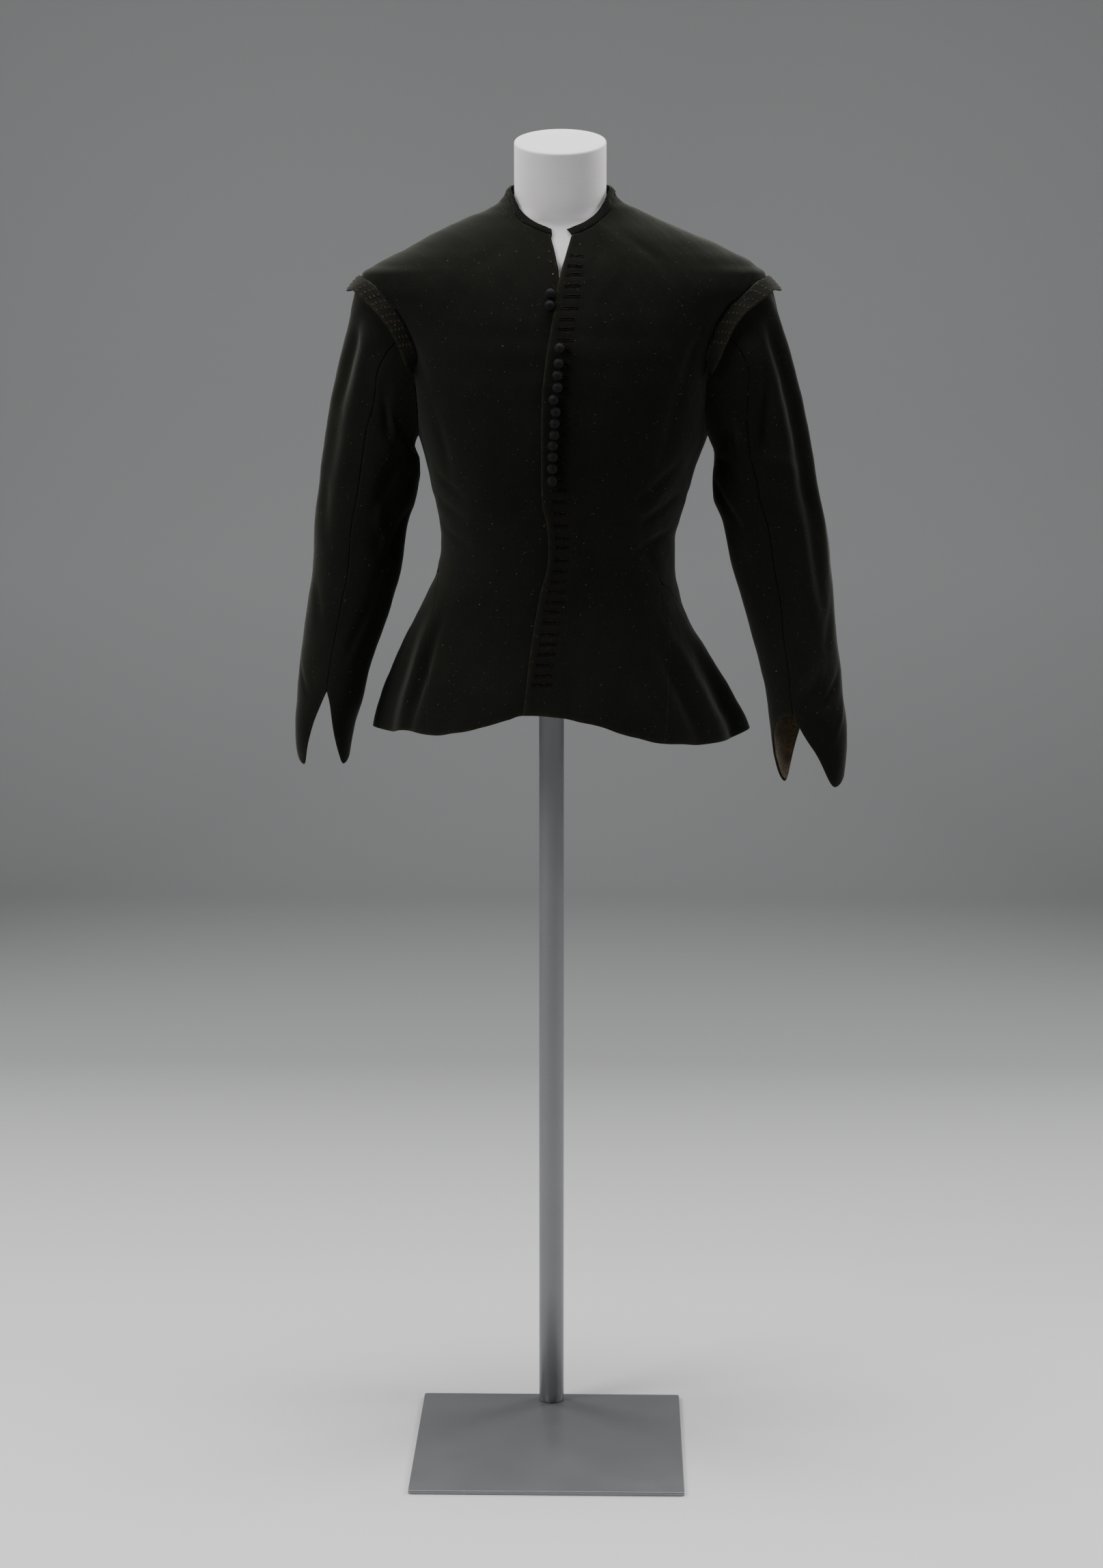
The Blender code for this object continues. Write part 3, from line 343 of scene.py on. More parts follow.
# Ball buttons
BUTTON_RADIUS = 0.0061
FASTENED = (
    # height, place across
    (1.3730, 0.0127),
    (1.3555, 0.0116),
    (1.3404, 0.0103),
    (1.3260, 0.0103),
    (1.3118, 0.0058),
    (1.2967, 0.0080),
    (1.2825, 0.0069),
    (1.2690, 0.0065),
    (1.2555, 0.0046),
    (1.2420, 0.0046),
    (1.2277, 0.0040),
    (1.2126, 0.0038),
)
UNFASTENED = (
    # height, place across
    (1.4400, 0.0010),
    (1.4255, 0.0002),
)

# How finely the cloth is divided
SKIRT_ROWS, SIDE_ROWS, ARMHOLE_ROWS, NECK_ROWS = 84, 70, 100, 60
FRONT_COLUMNS, BESIDE_COLUMNS, GORE_COLUMNS, BACK_COLUMNS = 84, 16, 56, 70
SLEEVE_COLUMNS, SLEEVE_ROWS = 48, 160
WING_COLUMNS, WING_ROWS, WING_LAST_RING, WING_STEPS = 150, 12, 3, 61
EDGE_LINES = (0.0007, 0.0017, 0.0030, 0.0048)
SKIRT_LENGTH, CLOSING_LENGTH, ACROSS_LENGTH, SLEEVE_LENGTH, SLEEVE_ACROSS = 0.20, 0.60, 0.25, 0.60, 0.20
STEP, TURN_STEP, RING_STEP = 1e-4, 1e-3, 0.01

# Cut edges and seams of the cloth
EDGE_ROUND, EDGE_DROP, SEAM_ROLL = 0.0022, 0.0010, 0.45
FACING_WIDTH, FACING_EDGE, FACING_RISE = 0.0075, 0.0040, 0.0008
WEAR_WIDTH = 0.0030

# Cloth that isn't quite smooth
UNEVEN = (
    # rise, waves a metre across, along and up, phase
    (0.00030, 9.0, 5.0, 7.0, 0.3),
    (0.00022, 17.0, 11.0, 12.0, 1.9),
    (0.00016, 31.0, 23.0, 19.0, 4.0),
    (0.00010, 61.0, 47.0, 37.0, 2.2),
)
SHOULDER_STEPS = (-0.020, -0.013, -0.0065, 0.0, 0.0065, 0.013, 0.020)
SHOULDER_ZONE, SHOULDER_SIDE = (1.405, 1.530, 0.035), (0.55, 0.30)
CREASES_FROM_RING = 1.0
GORE_TOP_LEFT_OUT = 0.028
BAND_COLUMNS = 460
BAND_SHARES = (0.0, 0.05, 0.12, 0.20, 0.32, 0.44, 0.56, 0.68, 0.80, 0.88, 0.95, 1.0)
BAND_FULL, BAND_RIB = 0.0009, 0.00022
BAND_STITCH_SHARES = (0.16, 0.84)
LINING_COLUMNS, LINING_ROWS = 41, 61
WING_TAPER = ((0.0, WING_WIDTH), (50.0, WING_WIDTH), (88.0, 0.0170), (WING_REACH, 0.0060))
WING_WAVES, WING_WAVE_RISE = (0.11, 0.043), 0.0004
STRAND_END = 0.45
HOLE_SEED, GORE_SEED, SLEEVE_SEED, SLIT_SEED, REMNANT_SEED = 11, 12, 13, 14, 15
HOLE_TILT, HOLE_WANDER = 0.05, 0.0002
# The last is the radius of the dark strand laid in each buttonhole's slit as painted shadow
LIP_RIB, LIP_SWELL, LIP_LIFT, SLIT_PAINTED_SHADOW_RADIUS = 0.25, 0.15, 0.0001, 0.0005
BUTTON_ROUND, BUTTON_DOWN, BUTTON_SPOKES, BUTTON_TWIST, BUTTON_ROWS = 72, 40, 12, 3.0, 22.0
BUTTON_RELIEF, BUTTON_FLAT = 0.055, 0.94
GORE_RADIUS, SLEEVE_HALF_WIDTH = 0.165, 0.062
STITCH_LIFT, STITCH_SINK = 0.0001, 0.0006
SLIT_APART, SLIT_STRAY, SLIT_POINTS, SLIT_GRID = 0.0006, 0.0006, 7, (900, 49)
STITCH_POINTS, BAND_STITCH_SHARE = 6, 0.5
REMNANT_ENDS = 4
FORM_SIDES, FORM_RINGS, NECK_CAP_FROM = 120, 84, 1.606
CAP_PROFILE = (
    # how far inside the neck's side, how far under the cap's edge
    (0.0000, 0.0030),
    (0.0002, 0.0014),
    (0.0009, 0.0004),
    (0.0022, 0.0000),
    (0.0120, -0.0008),
    (0.0300, -0.0014),
    (0.0500, -0.0016),
)
POLE_SIDES, POLE_BEVEL = 96, 0.0006
PLATE_CORNER = 0.004
PLATE_PROFILE = (
    # how far inside the outline, height over the floor
    (0.0005, 0.0),
    (0.0, 0.0006),
    (0.0, 0.0042),
    (0.0003, 0.0048),
    (0.0009, 0.0050),
)

# Floor, wall behind and lights
FLOOR_SIZE, WALL_BEHIND, WALL_HEIGHT, WALL_BEND = 14.0, 4.6, 6.0, 1.2
LIGHTS = (
    # name, x, y, z, width, height, watts, aimed at x, y, z
    ("key_right", -2.5, -1.6, 2.9, 1.3, 1.6, 74.0, 0.0, 0.0, 1.2),
    ("soft_left", 2.8, -0.4, 2.2, 1.0, 1.6, 32.0, 0.0, 0.0, 1.2),
    ("soft_top", 0.0, 0.1, 3.6, 1.8, 1.0, 105.0, 0.0, 0.0, 1.2),
    ("rim_right", -2.0, 1.5, 2.0, 1.0, 2.0, 38.0, 0.0, 0.0, 1.2),
    ("rim_left", 2.0, 1.5, 2.0, 1.0, 2.0, 46.0, 0.0, 0.0, 1.2),
)
WORLD_GREY, WORLD_STRENGTH = 0.75, 0.09

# Creases of the body that the photo shows in front, and like ones behind
FRONT_CREASES = (
    # across and height of one end, across and height of the other, width, rise
    (0.055, 1.526, 0.047, 1.466, 0.0050, -0.0020),
    (0.047, 1.466, 0.042, 1.392, 0.0055, -0.0018),
    (0.072, 1.520, 0.062, 1.440, 0.0080, 0.0018),
    (0.095, 1.515, 0.135, 1.480, 0.0100, -0.0018),
    (0.058, 1.440, 0.054, 1.340, 0.0080, 0.0012),
    (0.072, 1.300, 0.112, 1.155, 0.0180, -0.0024),
    (0.112, 1.160, 0.134, 1.090, 0.0120, -0.0030),
    (0.095, 1.180, 0.128, 1.120, 0.0110, 0.0020),
    (0.156, 1.225, 0.115, 1.190, 0.0070, -0.0026),
    (0.156, 1.185, 0.112, 1.156, 0.0070, -0.0028),
    (0.150, 1.145, 0.110, 1.124, 0.0060, -0.0024),
    (0.152, 1.205, 0.118, 1.172, 0.0070, 0.0016),
    (-0.142, 1.215, -0.110, 1.190, 0.0070, -0.0022),
    (-0.140, 1.180, -0.105, 1.162, 0.0070, -0.0026),
    (-0.134, 1.145, -0.100, 1.128, 0.0060, -0.0022),
    (-0.060, 1.505, -0.090, 1.470, 0.0140, -0.0016),
    (-0.075, 1.300, -0.090, 1.180, 0.0180, 0.0018),
    (-0.145, 1.300, -0.125, 1.210, 0.0120, -0.0024),
    (0.160, 1.320, 0.140, 1.240, 0.0120, -0.0026),
    (-0.182, 1.400, -0.155, 1.330, 0.0100, -0.0022),
    (0.190, 1.400, 0.165, 1.330, 0.0100, -0.0026),
    (0.020, 1.120, 0.090, 1.105, 0.0080, -0.0012),
    (0.030, 1.160, 0.100, 1.150, 0.0080, -0.0010),
    (-0.030, 1.135, -0.095, 1.150, 0.0090, -0.0012),
    (0.032, 1.470, 0.032, 1.492, 0.0045, 0.0016),
)
BACK_CREASES = (
    # degrees and height of one end, degrees and height of the other, width, rise
    (180, 1.480, 178, 1.250, 0.012, -0.0014),
    (120, 1.420, 140, 1.240, 0.014, -0.0016),
    (-120, 1.420, -138, 1.250, 0.014, -0.0016),
    (110, 1.175, 150, 1.150, 0.007, -0.0018),
    (105, 1.135, 145, 1.112, 0.007, -0.0018),
    (-110, 1.170, -152, 1.152, 0.007, -0.0018),
    (-106, 1.135, -146, 1.116, 0.007, -0.0018),
    (160, 1.190, -165, 1.180, 0.008, -0.0014),
    (128, 1.300, 150, 1.190, 0.014, 0.0014),
    (-130, 1.310, -152, 1.195, 0.014, 0.0014),
)
DEGREE_LENGTH = 0.0030
CREASE_END = 0.35

# Creases of the sleeves
SLEEVE_CREASES = {
    -1: (
        # degrees and ring of one end, degrees and ring of the other, width, rise
        (44, 1.4, 38, 4.6, 0.0110, -0.0036),
        (24, 1.0, 16, 8.0, 0.0130, 0.0014),
        (64, 1.2, 66, 4.0, 0.0090, 0.0028),
        (100, 1.6, 108, 4.2, 0.0070, -0.0034),
        (118, 2.6, 112, 6.0, 0.0090, 0.0030),
        (132, 4.0, 104, 7.4, 0.0085, -0.0040),
        (148, 5.6, 116, 8.6, 0.0070, -0.0038),
        (160, 7.4, 118, 9.6, 0.0070, -0.0034),
        (108, 7.0, 128, 8.6, 0.0080, 0.0026),
        (30, 6.6, 52, 8.4, 0.0110, -0.0028),
        (34, 9.6, 60, 10.8, 0.0080, -0.0022),
        (20, 11.8, 56, 12.8, 0.0060, -0.0020),
        (124, 10.0, 104, 11.6, 0.0070, -0.0024),
        (-30, 1.0, -38, 6.0, 0.0080, -0.0020),
        (-70, 2.0, -64, 8.0, 0.0080, 0.0018),
        (-120, 6.0, -95, 8.0, 0.0060, -0.0022),
    ),
    1: (
        (60, 1.0, 84, 5.4, 0.0100, -0.0062),
        (84, 3.4, 92, 5.8, 0.0085, -0.0048),
        (38, 1.0, 46, 9.0, 0.0120, 0.0012),
        (60, 6.4, 92, 5.6, 0.0090, 0.0040),
        (72, 7.6, 96, 6.4, 0.0080, 0.0024),
        (52, 7.8, 46, 10.6, 0.0090, -0.0026),
        (14, 1.0, 8, 7.0, 0.0080, -0.0028),
        (112, 1.8, 108, 4.4, 0.0080, 0.0034),
        (136, 2.0, 128, 5.2, 0.0080, -0.0036),
        (150, 4.6, 118, 6.6, 0.0080, -0.0040),
        (164, 6.2, 124, 8.4, 0.0075, -0.0034),
        (134, 7.0, 116, 9.6, 0.0100, 0.0030),
        (24, 10.2, 60, 11.8, 0.0085, -0.0034),
        (44, 11.2, 100, 13.0, 0.0080, 0.0034),
        (26, 12.0, 70, 13.2, 0.0070, -0.0040),
        (18, 13.0, 54, 14.0, 0.0060, 0.0024),
        (-30, 1.0, -38, 6.0, 0.0080, -0.0022),
        (-70, 2.0, -64, 8.0, 0.0080, 0.0018),
        (-120, 6.0, -95, 8.0, 0.0060, -0.0022),
    ),
}
SLEEVE_DEGREE, SLEEVE_RING = 0.0011, 0.044

# Worked buttonholes of the left front
HOLE_HEIGHTS = (
    1.4890, 1.4760, 1.4645, 1.4510, 1.4380, 1.4230, 1.4100, 1.3980, 1.3850,
    1.1990, 1.1860, 1.1710, 1.1560, 1.1410, 1.1290, 1.1130, 1.0990, 1.0860, 1.0740, 1.0610,
    1.0490, 1.0360, 1.0220, 1.0090, 0.9970, 0.9840, 0.9710, 0.9595,
)
HOLE_SPAN = (
    # height, start across, end across
    (0.9595, -0.0210, 0.0029),
    (0.9840, -0.0170, 0.0050),
    (1.0090, -0.0130, 0.0105),
    (1.0360, -0.0080, 0.0135),
    (1.0610, -0.0038, 0.0180),
    (1.0860, 0.0004, 0.0197),
    (1.1290, 0.0062, 0.0240),
    (1.1560, 0.0049, 0.0232),
    (1.1990, 0.0021, 0.0212),
    (1.3850, 0.0097, 0.0289),
    (1.4100, 0.0120, 0.0326),
    (1.4380, 0.0171, 0.0374),
    (1.4645, 0.0200, 0.0403),
    (1.4890, 0.0250, 0.0415),
)
HOLE_BEYOND_BUTTON = 0.0135
LIP_RADIUS, LIP_APART, END_BAR = 0.00075, 0.00115, 0.0024
LIP_PITCH = 0.0009
PUCKER_DIP, PUCKER_HEIGHT = 0.0006, 0.0032

# Thread left where buttons are gone
REMNANTS = ((-0.0010, 1.4940), (0.0010, 1.4810), (0.0040, 1.4660), (-0.0060, 1.1560))

# Stitches
STITCH_RADIUS = 0.00034
GORE_STITCH_PITCH, GORE_STITCH_HALF = 0.0026, 0.0016
SLEEVE_STITCH_PITCH, SLEEVE_STITCH_HALF = 0.0030, 0.0012
BAND_STITCH_PITCH = 0.0032

# Small worked slits across the wings
SLIT_PITCH, SLIT_HALF, SLIT_RADIUS = {-1: 0.0110, 1: 0.0140}, 0.0021, 0.00048
SLIT_PLACES, SLIT_REACH = (0.17, 0.40, 0.62, 0.84), 86.0

# Camera and its picture
PICTURE_HEIGHT = 2296
FOCAL_PIXELS = 4516
CAMERA_HEIGHT, CAMERA_AWAY = 1.434, 3.93
CAMERA_AZIMUTH, CAMERA_PITCH = math.radians(1.2), math.radians(4.0)
HORIZON_ROW = 435
SENSOR = 0.036


# Colours, as linear red, green and blue
WOOL_DARK = (0.0052, 0.0054, 0.0046, 1.0)
WOOL_LIGHT = (0.0090, 0.0094, 0.0078, 1.0)
WOOL_BLUE = (0.0050, 0.0058, 0.0058, 1.0)
WOOL_FIBRE = (0.0190, 0.0192, 0.0155, 1.0)
WOOL_LINT = (0.1000, 0.0950, 0.0750, 1.0)
WOOL_WORN = (0.0240, 0.0225, 0.0150, 1.0)
WEAR_SHARE = 0.75
# Painted sheen: a paler colour mixed into the wool where its surface turns away from the eye
WOOL_PAINTED_SHEEN, PAINTED_SHEEN_POWER = (0.0420, 0.0430, 0.0370, 1.0), 2.4
WOOL_SHEEN, WOOL_SHEEN_ROUGHNESS, WOOL_SHEEN_TINT = 0.12, 0.25, (0.85, 0.89, 0.84, 1.0)
THREAD_DARK = (0.0040, 0.0032, 0.0026, 1.0)
THREAD_BROWN = (0.0110, 0.0080, 0.0056, 1.0)
THREAD_RED = (0.0420, 0.0170, 0.0110, 1.0)
THREAD_TAN = (0.0380, 0.0260, 0.0150, 1.0)
THREAD_ORANGE = (0.2200, 0.0950, 0.0300, 1.0)
THREAD_PALE = (0.3200, 0.2400, 0.1500, 1.0)
BUTTON_DARK = (0.0050, 0.0048, 0.0052, 1.0)
BUTTON_LIGHT = (0.0190, 0.0182, 0.0190, 1.0)
# Near black: painted shadow in the buttonhole slits, used too for the neckband's stitches
SLIT_DARK = (0.0012, 0.0010, 0.0009, 1.0)
LINEN_DARK = (0.0300, 0.0190, 0.0075, 1.0)
LINEN_LIGHT = (0.1300, 0.0960, 0.0480, 1.0)
LINEN_STAIN = (0.0180, 0.0110, 0.0050, 1.0)
SLIT_BROWN = (0.0100, 0.0070, 0.0045, 1.0)
SLIT_TAN = (0.0620, 0.0420, 0.0250, 1.0)
COVER_WHITE = (0.7600, 0.7450, 0.7550, 1.0)
COVER_ROSY = (0.7400, 0.7000, 0.6900, 1.0)
COVER_SHADE = (0.4000, 0.3900, 0.4000, 1.0)
COVER_RIBS, COVER_SLANT, COVER_LOOPS = 330.0, 900.0, 4200.0
PAINT_DARK = (0.1950, 0.2010, 0.2100, 1.0)
PAINT_LIGHT = (0.2400, 0.2460, 0.2560, 1.0)
# Painted shade of the floor and the wall behind: pale on the floor, darker up the wall, a little paler at
# its top, in place of the light's falloff
STAGE_FLOOR, STAGE_MIDDLE = (0.75, 0.75, 0.75, 1.0), (0.290, 0.292, 0.295, 1.0)
STAGE_TOP = (0.415, 0.420, 0.425, 1.0)
STAGE_DEPTH, STAGE_NEAR, STAGE_FAR = 0.25, (-0.1, 0.45), (0.45, 1.8)


def smooth_reader(table):
    """A function that reads every column of a table, smoothly, at any value of its first column."""
    rows = np.array(table, dtype=float)
    keys, values = rows[:, 0], rows[:, 1:]
    rises = np.diff(values, axis=0) / np.diff(keys)[:, None]
    product, total = rises[:-1] * rises[1:], rises[:-1] + rises[1:]
    slopes = np.zeros_like(values)
    slopes[0], slopes[-1] = rises[0], rises[-1]
    same_way = product > 0
    slopes[1:-1][same_way] = 2 * product[same_way] / total[same_way]

    def read(at):
        at = np.clip(np.asarray(at, dtype=float), keys[0], keys[-1])
        place = np.clip(np.searchsorted(keys, at) - 1, 0, len(keys) - 2)
        width = (keys[place + 1] - keys[place])[..., None]
        step = (at - keys[place])[..., None] / width
        start = values[place] + slopes[place] * width * step
        end = values[place + 1] - slopes[place + 1] * width * (1 - step)
        ease = step * step * (3 - 2 * step)
        return start * (1 - ease) + end * ease

    return read


read_torso = smooth_reader(TORSO)
read_hem = smooth_reader(HEM)
read_closing = smooth_reader(CLOSING)
read_neckline = smooth_reader(NECKLINE)
read_armhole = smooth_reader(ARMHOLE)
read_side_seam = smooth_reader(SIDE_SEAM)
read_inset = smooth_reader(FORM_INSET)
read_gore_front = {side: smooth_reader(GORE_FRONT[side]) for side in GORE_FRONT}
read_gore_back = {side: smooth_reader(GORE_BACK[side]) for side in GORE_BACK}
read_sleeve = {side: smooth_reader(SLEEVES[side]) for side in SLEEVES}
read_hole_span = smooth_reader(HOLE_SPAN)


def ease(value):
    """A soft step from 0 to 1."""
    value = np.clip(value, 0.0, 1.0)
    return value * value * (3 - 2 * value)


def signed_power(value, power):
    """A power that keeps the sign."""
    return np.sign(value) * np.abs(value) ** power


def unit(vectors):
    """Vectors of length one."""
    return vectors / np.linalg.norm(vectors, axis=-1, keepdims=True)


def torso(angle, height):
    """Point of the body surface, where the angle runs from the front to the wearer's left."""
    right, left, front, back, square = np.moveaxis(read_torso(height), -1, 0)
    middle, half = (left + right) / 2, (left - right) / 2
    across = signed_power(np.sin(angle), 2 / square)
    along = signed_power(np.cos(angle), 2 / square)
    depth = np.where(along > 0, -front, back)
    return np.stack([middle + half * across, -depth * along, height + 0 * angle], axis=-1)


def torso_normal(angle, height):
    """Outward direction of the body surface."""
    round_it = torso(angle + STEP, height) - torso(angle - STEP, height)
    up_it = torso(angle, height + STEP) - torso(angle, height - STEP)
    return unit(np.cross(round_it, up_it))


def torso_angle(x, height):
    """Angle at which a level ring of the body's front reaches a place across."""
    right, left, _, _, square = np.moveaxis(read_torso(height), -1, 0)
    middle, half = (left + right) / 2, (left - right) / 2
    share = np.clip((x - middle) / half, -1, 1)
    return np.arcsin(signed_power(share, square / 2))


def fold_rise(angle, height):
    """How far the soft folds stand out from the body surface."""
    total = np.zeros(np.broadcast(angle, height).shape)
    for centre, width, rise, top, lean in FOLDS:
        below = np.clip(top - height, 0, None)
        away = np.degrees(angle) - centre - lean * below
        total += rise * np.exp(-(away / width) ** 2) * ease(below / FOLD_FADE)
    return total


def lap_rise(angle, height):
    """How far the left front rises to pass over the right front."""
    x = torso(angle, height)[..., 0]
    past_edge = x - read_closing(height)[..., 0]
    across = 1 - ease((past_edge - LAP_FULL) / (LAP_END - LAP_FULL))
    upward = 1 - ease((height - LAP_LOW) / (LAP_HIGH - LAP_LOW))
    return LAP_LIFT * across * upward


def hem_height(angle):
    """Height of the hem at an angle."""
    return read_hem(np.degrees(angle))[..., 0]


def seam_line(read, side, top, turn):
    """Angle and height down a seam of the skirt, from the hem up to the gore's apex."""
    share = SKIRT_SHARES
    height = top * share + HEM_GUESS * (1 - share)
    for _ in range(HEM_ROUNDS):
        angle = side * np.radians(read(height)[..., 0]) + turn
        foot = hem_height(angle[:1])[0]
        height = foot + (top - foot) * share
    return angle, height


def armhole_line(side, behind, turn=0.0):
    """Angle and height up the armhole from the armpit to the shoulder tip."""
    swing = np.linspace(math.pi, 0, ARMHOLE_ROWS + 1)
    height = (TIP + ARMPIT) / 2 + (TIP - ARMPIT) / 2 * np.cos(swing)
    share = read_armhole(height)[..., 0]
    square = read_torso(height)[..., 4]
    angle = np.arcsin(np.clip(share, 0, 1) ** (square / 2))
    if behind:
        angle = math.pi - angle
    return side * angle + turn, height


def join(*lines):
    """One line of angles and heights from several that follow one another."""
    angle = np.concatenate([line[0] if i == 0 else line[0][1:] for i, line in enumerate(lines)])
    height = np.concatenate([line[1] if i == 0 else line[1][1:] for i, line in enumerate(lines)])
    return angle, height


def side_line(side, turn, apex):
    """Angle and height up the side seam between the waist and the armpit."""
    height = np.linspace(apex, ARMPIT, SIDE_ROWS + 1)
    angle = side * np.radians(read_side_seam(height)[..., 0]) + turn
    return angle, height


def above_gore_line(side, apex):
    """Angle and height from the gore's apex up to the armpit, where the front is whole."""
    share = np.linspace(0, 1, SIDE_ROWS + 1)
    start = read_gore_front[side](apex)[0]
    angle = side * np.radians(start + (90 - start) * share)
    return angle, apex + (ARMPIT - apex) * share


def closing_line(side, height):
    """Angle and height up the closing edge of a front."""
    column = 0 if side > 0 else 1
    return torso_angle(read_closing(height)[..., column], height), height


def neck_line(side, start, end):
    """Angle and height along the neckline seam."""
    row = read_neckline(np.linspace(start, end, NECK_ROWS + 1))
    return side * np.radians(row[..., 0]), row[..., 1]


def neck_surface(angle, height, out):
    """Point of the dress form's neck, moved out."""
    low, low_y, high, high_y = NECK_LEAN
    middle_y = low_y + (high_y - low_y) * (height - low) / (high - low)
    return np.stack([NECK_MIDDLE + (NECK_HALF_WIDTH + out) * np.sin(angle),
                     middle_y - (NECK_HALF_DEPTH + out) * np.cos(angle), height + 0 * angle], axis=-1)


def armhole_loop(side, turn):
    """Points of the armhole seam by the angle round the sleeve, which is 0 at the shoulder tip."""
    height = (TIP + ARMPIT) / 2 + (TIP - ARMPIT) / 2 * np.cos(turn)
    share = read_armhole(height)[..., 0]
    square = read_torso(height)[..., 4]
    angle = np.arcsin(np.clip(share, 0, 1) ** (square / 2))
    angle = side * np.where(np.sin(turn) < 0, math.pi - angle, angle)
    point = torso(angle, height)
    rise = body_rise(angle, height, point) + SLEEVE_LIFT
    point = point + torso_normal(angle, height) * rise[..., None]
    aim = np.array([side * SLEEVE_AIM + (point[..., 0].max() + point[..., 0].min()) / 2, 0.0,
                    (TIP + ARMPIT) / 2])
    return point + unit(aim - point) * SLEEVE_START


def sleeve(side, turn, ring):
    """Point of a sleeve's outer surface. The turn is 0 outside and a quarter circle in front."""
    turn, ring = np.broadcast_arrays(turn, ring)
    row = np.moveaxis(read_sleeve[side](ring), -1, 0)
    outer_x, outer_z, inner_x, inner_z, middle_y, half_depth = row[:6]
    swing = signed_power(np.cos(turn), 2 / SLEEVE_SQUARENESS)
    out = signed_power(np.sin(turn), 2 / SLEEVE_SQUARENESS)
    point = np.stack([(outer_x + inner_x) / 2 + (outer_x - inner_x) / 2 * swing,
                      middle_y - half_depth * out,
                      (outer_z + inner_z) / 2 + (outer_z - inner_z) / 2 * swing], axis=-1)
    joined = (1 - ease(ring / SLEEVE_JOIN_ROWS))[..., None]
    return armhole_loop(side, turn) * joined + point * (1 - joined)


def sleeve_normal(side, turn, ring):
    """Outward direction of a sleeve's surface."""
    round_it = sleeve(side, turn + TURN_STEP, ring) - sleeve(side, turn - TURN_STEP, ring)
    low, high = np.clip(ring - RING_STEP, 0, None), np.clip(ring + RING_STEP, None, TIP_RING)
    down_it = sleeve(side, turn, high) - sleeve(side, turn, low)
    return unit(np.cross(round_it, down_it)) * side


def sleeve_fold_rise(side, turn, ring):
    """How far a sleeve's soft folds stand out."""
    total = np.zeros(np.broadcast(turn, ring).shape)
    for centre, width, rise, first, last in SLEEVE_FOLDS[side]:
        away = (np.degrees(turn) - centre + 180) % 360 - 180
        reach = ease((ring - first) / FOLD_RINGS_IN) * ease((last - ring) / FOLD_RINGS_OUT)
        total += rise * np.exp(-(away / width) ** 2) * reach
    return total


def crease_rise(creases, degrees, height, degree_length, height_length):
    """How far a set of creases stands out, or in where it is below nought."""
    across, up = degrees * degree_length, height * height_length
    total = np.zeros(across.shape)
    for first_degrees, first_height, last_degrees, last_height, width, rise in creases:
        start = np.array([first_degrees * degree_length, first_height * height_length])
        way = np.array([last_degrees * degree_length, last_height * height_length]) - start
        along = ((across - start[0]) * way[0] + (up - start[1]) * way[1]) / way.dot(way)
        along = np.clip(along, 0, 1)
        away = np.hypot(across - start[0] - along * way[0], up - start[1] - along * way[1])
        strength = CREASE_END + (1 - CREASE_END) * np.sin(math.pi * along)
        total += rise * strength * np.exp(-(away / width) ** 2)
    return total


def front_creases():
    """The front's creases with their places across turned into degrees."""
    rows = []
    for first_x, first_height, last_x, last_height, width, rise in FRONT_CREASES:
        first, last = torso_angle(np.array([first_x, last_x]), np.array([first_height, last_height]))
        rows.append((math.degrees(first), first_height, math.degrees(last), last_height, width, rise))
    return rows


BODY_CREASES = front_creases() + list(BACK_CREASES)


def uneven_rise(point):
    """A faint waviness, the same for the same place."""
    total = np.zeros(point.shape[:-1])
    for rise, across, along, up, phase in UNEVEN:
        way = point[..., 0] * across + point[..., 1] * along
        total += rise * np.sin(2 * math.pi * way + phase) * np.cos(2 * math.pi * point[..., 2] * up + phase)
    return total


def facing_rise(angle, height):
    """The left front's closing edge is faced, so it stands up, and it draws in at each buttonhole."""
    x = torso(angle, height)[..., 0]
    past_edge = x - read_closing(height)[..., 0]
    facing = FACING_RISE * (1 - ease((past_edge - FACING_WIDTH) / FACING_EDGE))
    start, end = np.moveaxis(read_hole_span(height), -1, 0)
    inside = ease((x - start + 0.002) / 0.004) * ease((end + 0.003 - x) / 0.004)
    dip = np.zeros(x.shape)
    for hole in HOLE_HEIGHTS + tuple(row[0] for row in FASTENED):
        dip += np.exp(-((height - hole) / PUCKER_HEIGHT) ** 2)
    return facing - PUCKER_DIP * dip * inside


def body_rise(angle, height, point):
    """How far the body's folds, creases and waviness stand out."""
    degrees = (np.degrees(angle) + 180) % 360 - 180
    rise = fold_rise(angle, height) + uneven_rise(point)
    for turned in (0, 360, -360):
        rise = rise + crease_rise(BODY_CREASES, degrees + turned, height, DEGREE_LENGTH, 1.0)
    return rise


def shoulder_rise(angle, height, point, normal):
    """How far the cloth must move for the shoulders to roll softly into the chest and the back."""
    softer = sum(torso(angle, height + step) for step in SHOULDER_STEPS) / len(SHOULDER_STEPS)
    away = (softer - point)[..., 0] * normal[..., 0] + (softer - point)[..., 1] * normal[..., 1]
    low, high, fade = SHOULDER_ZONE
    near = ease((height - low) / fade) * ease((high - height) / fade)
    inward = 1 - ease((np.abs(np.sin(angle)) - SHOULDER_SIDE[0]) / SHOULDER_SIDE[1])
    return away * near * inward


def body_surface(angle, height, lapped=False):
    """Outer face of the cloth on the body, and its outward direction."""
    point, normal = torso(angle, height), torso_normal(angle, height)
    rise = body_rise(angle, height, point) + shoulder_rise(angle, height, point, normal)
    if lapped:
        rise = rise + lap_rise(angle, height) + facing_rise(angle, height)
    return point + normal * rise[..., None], normal


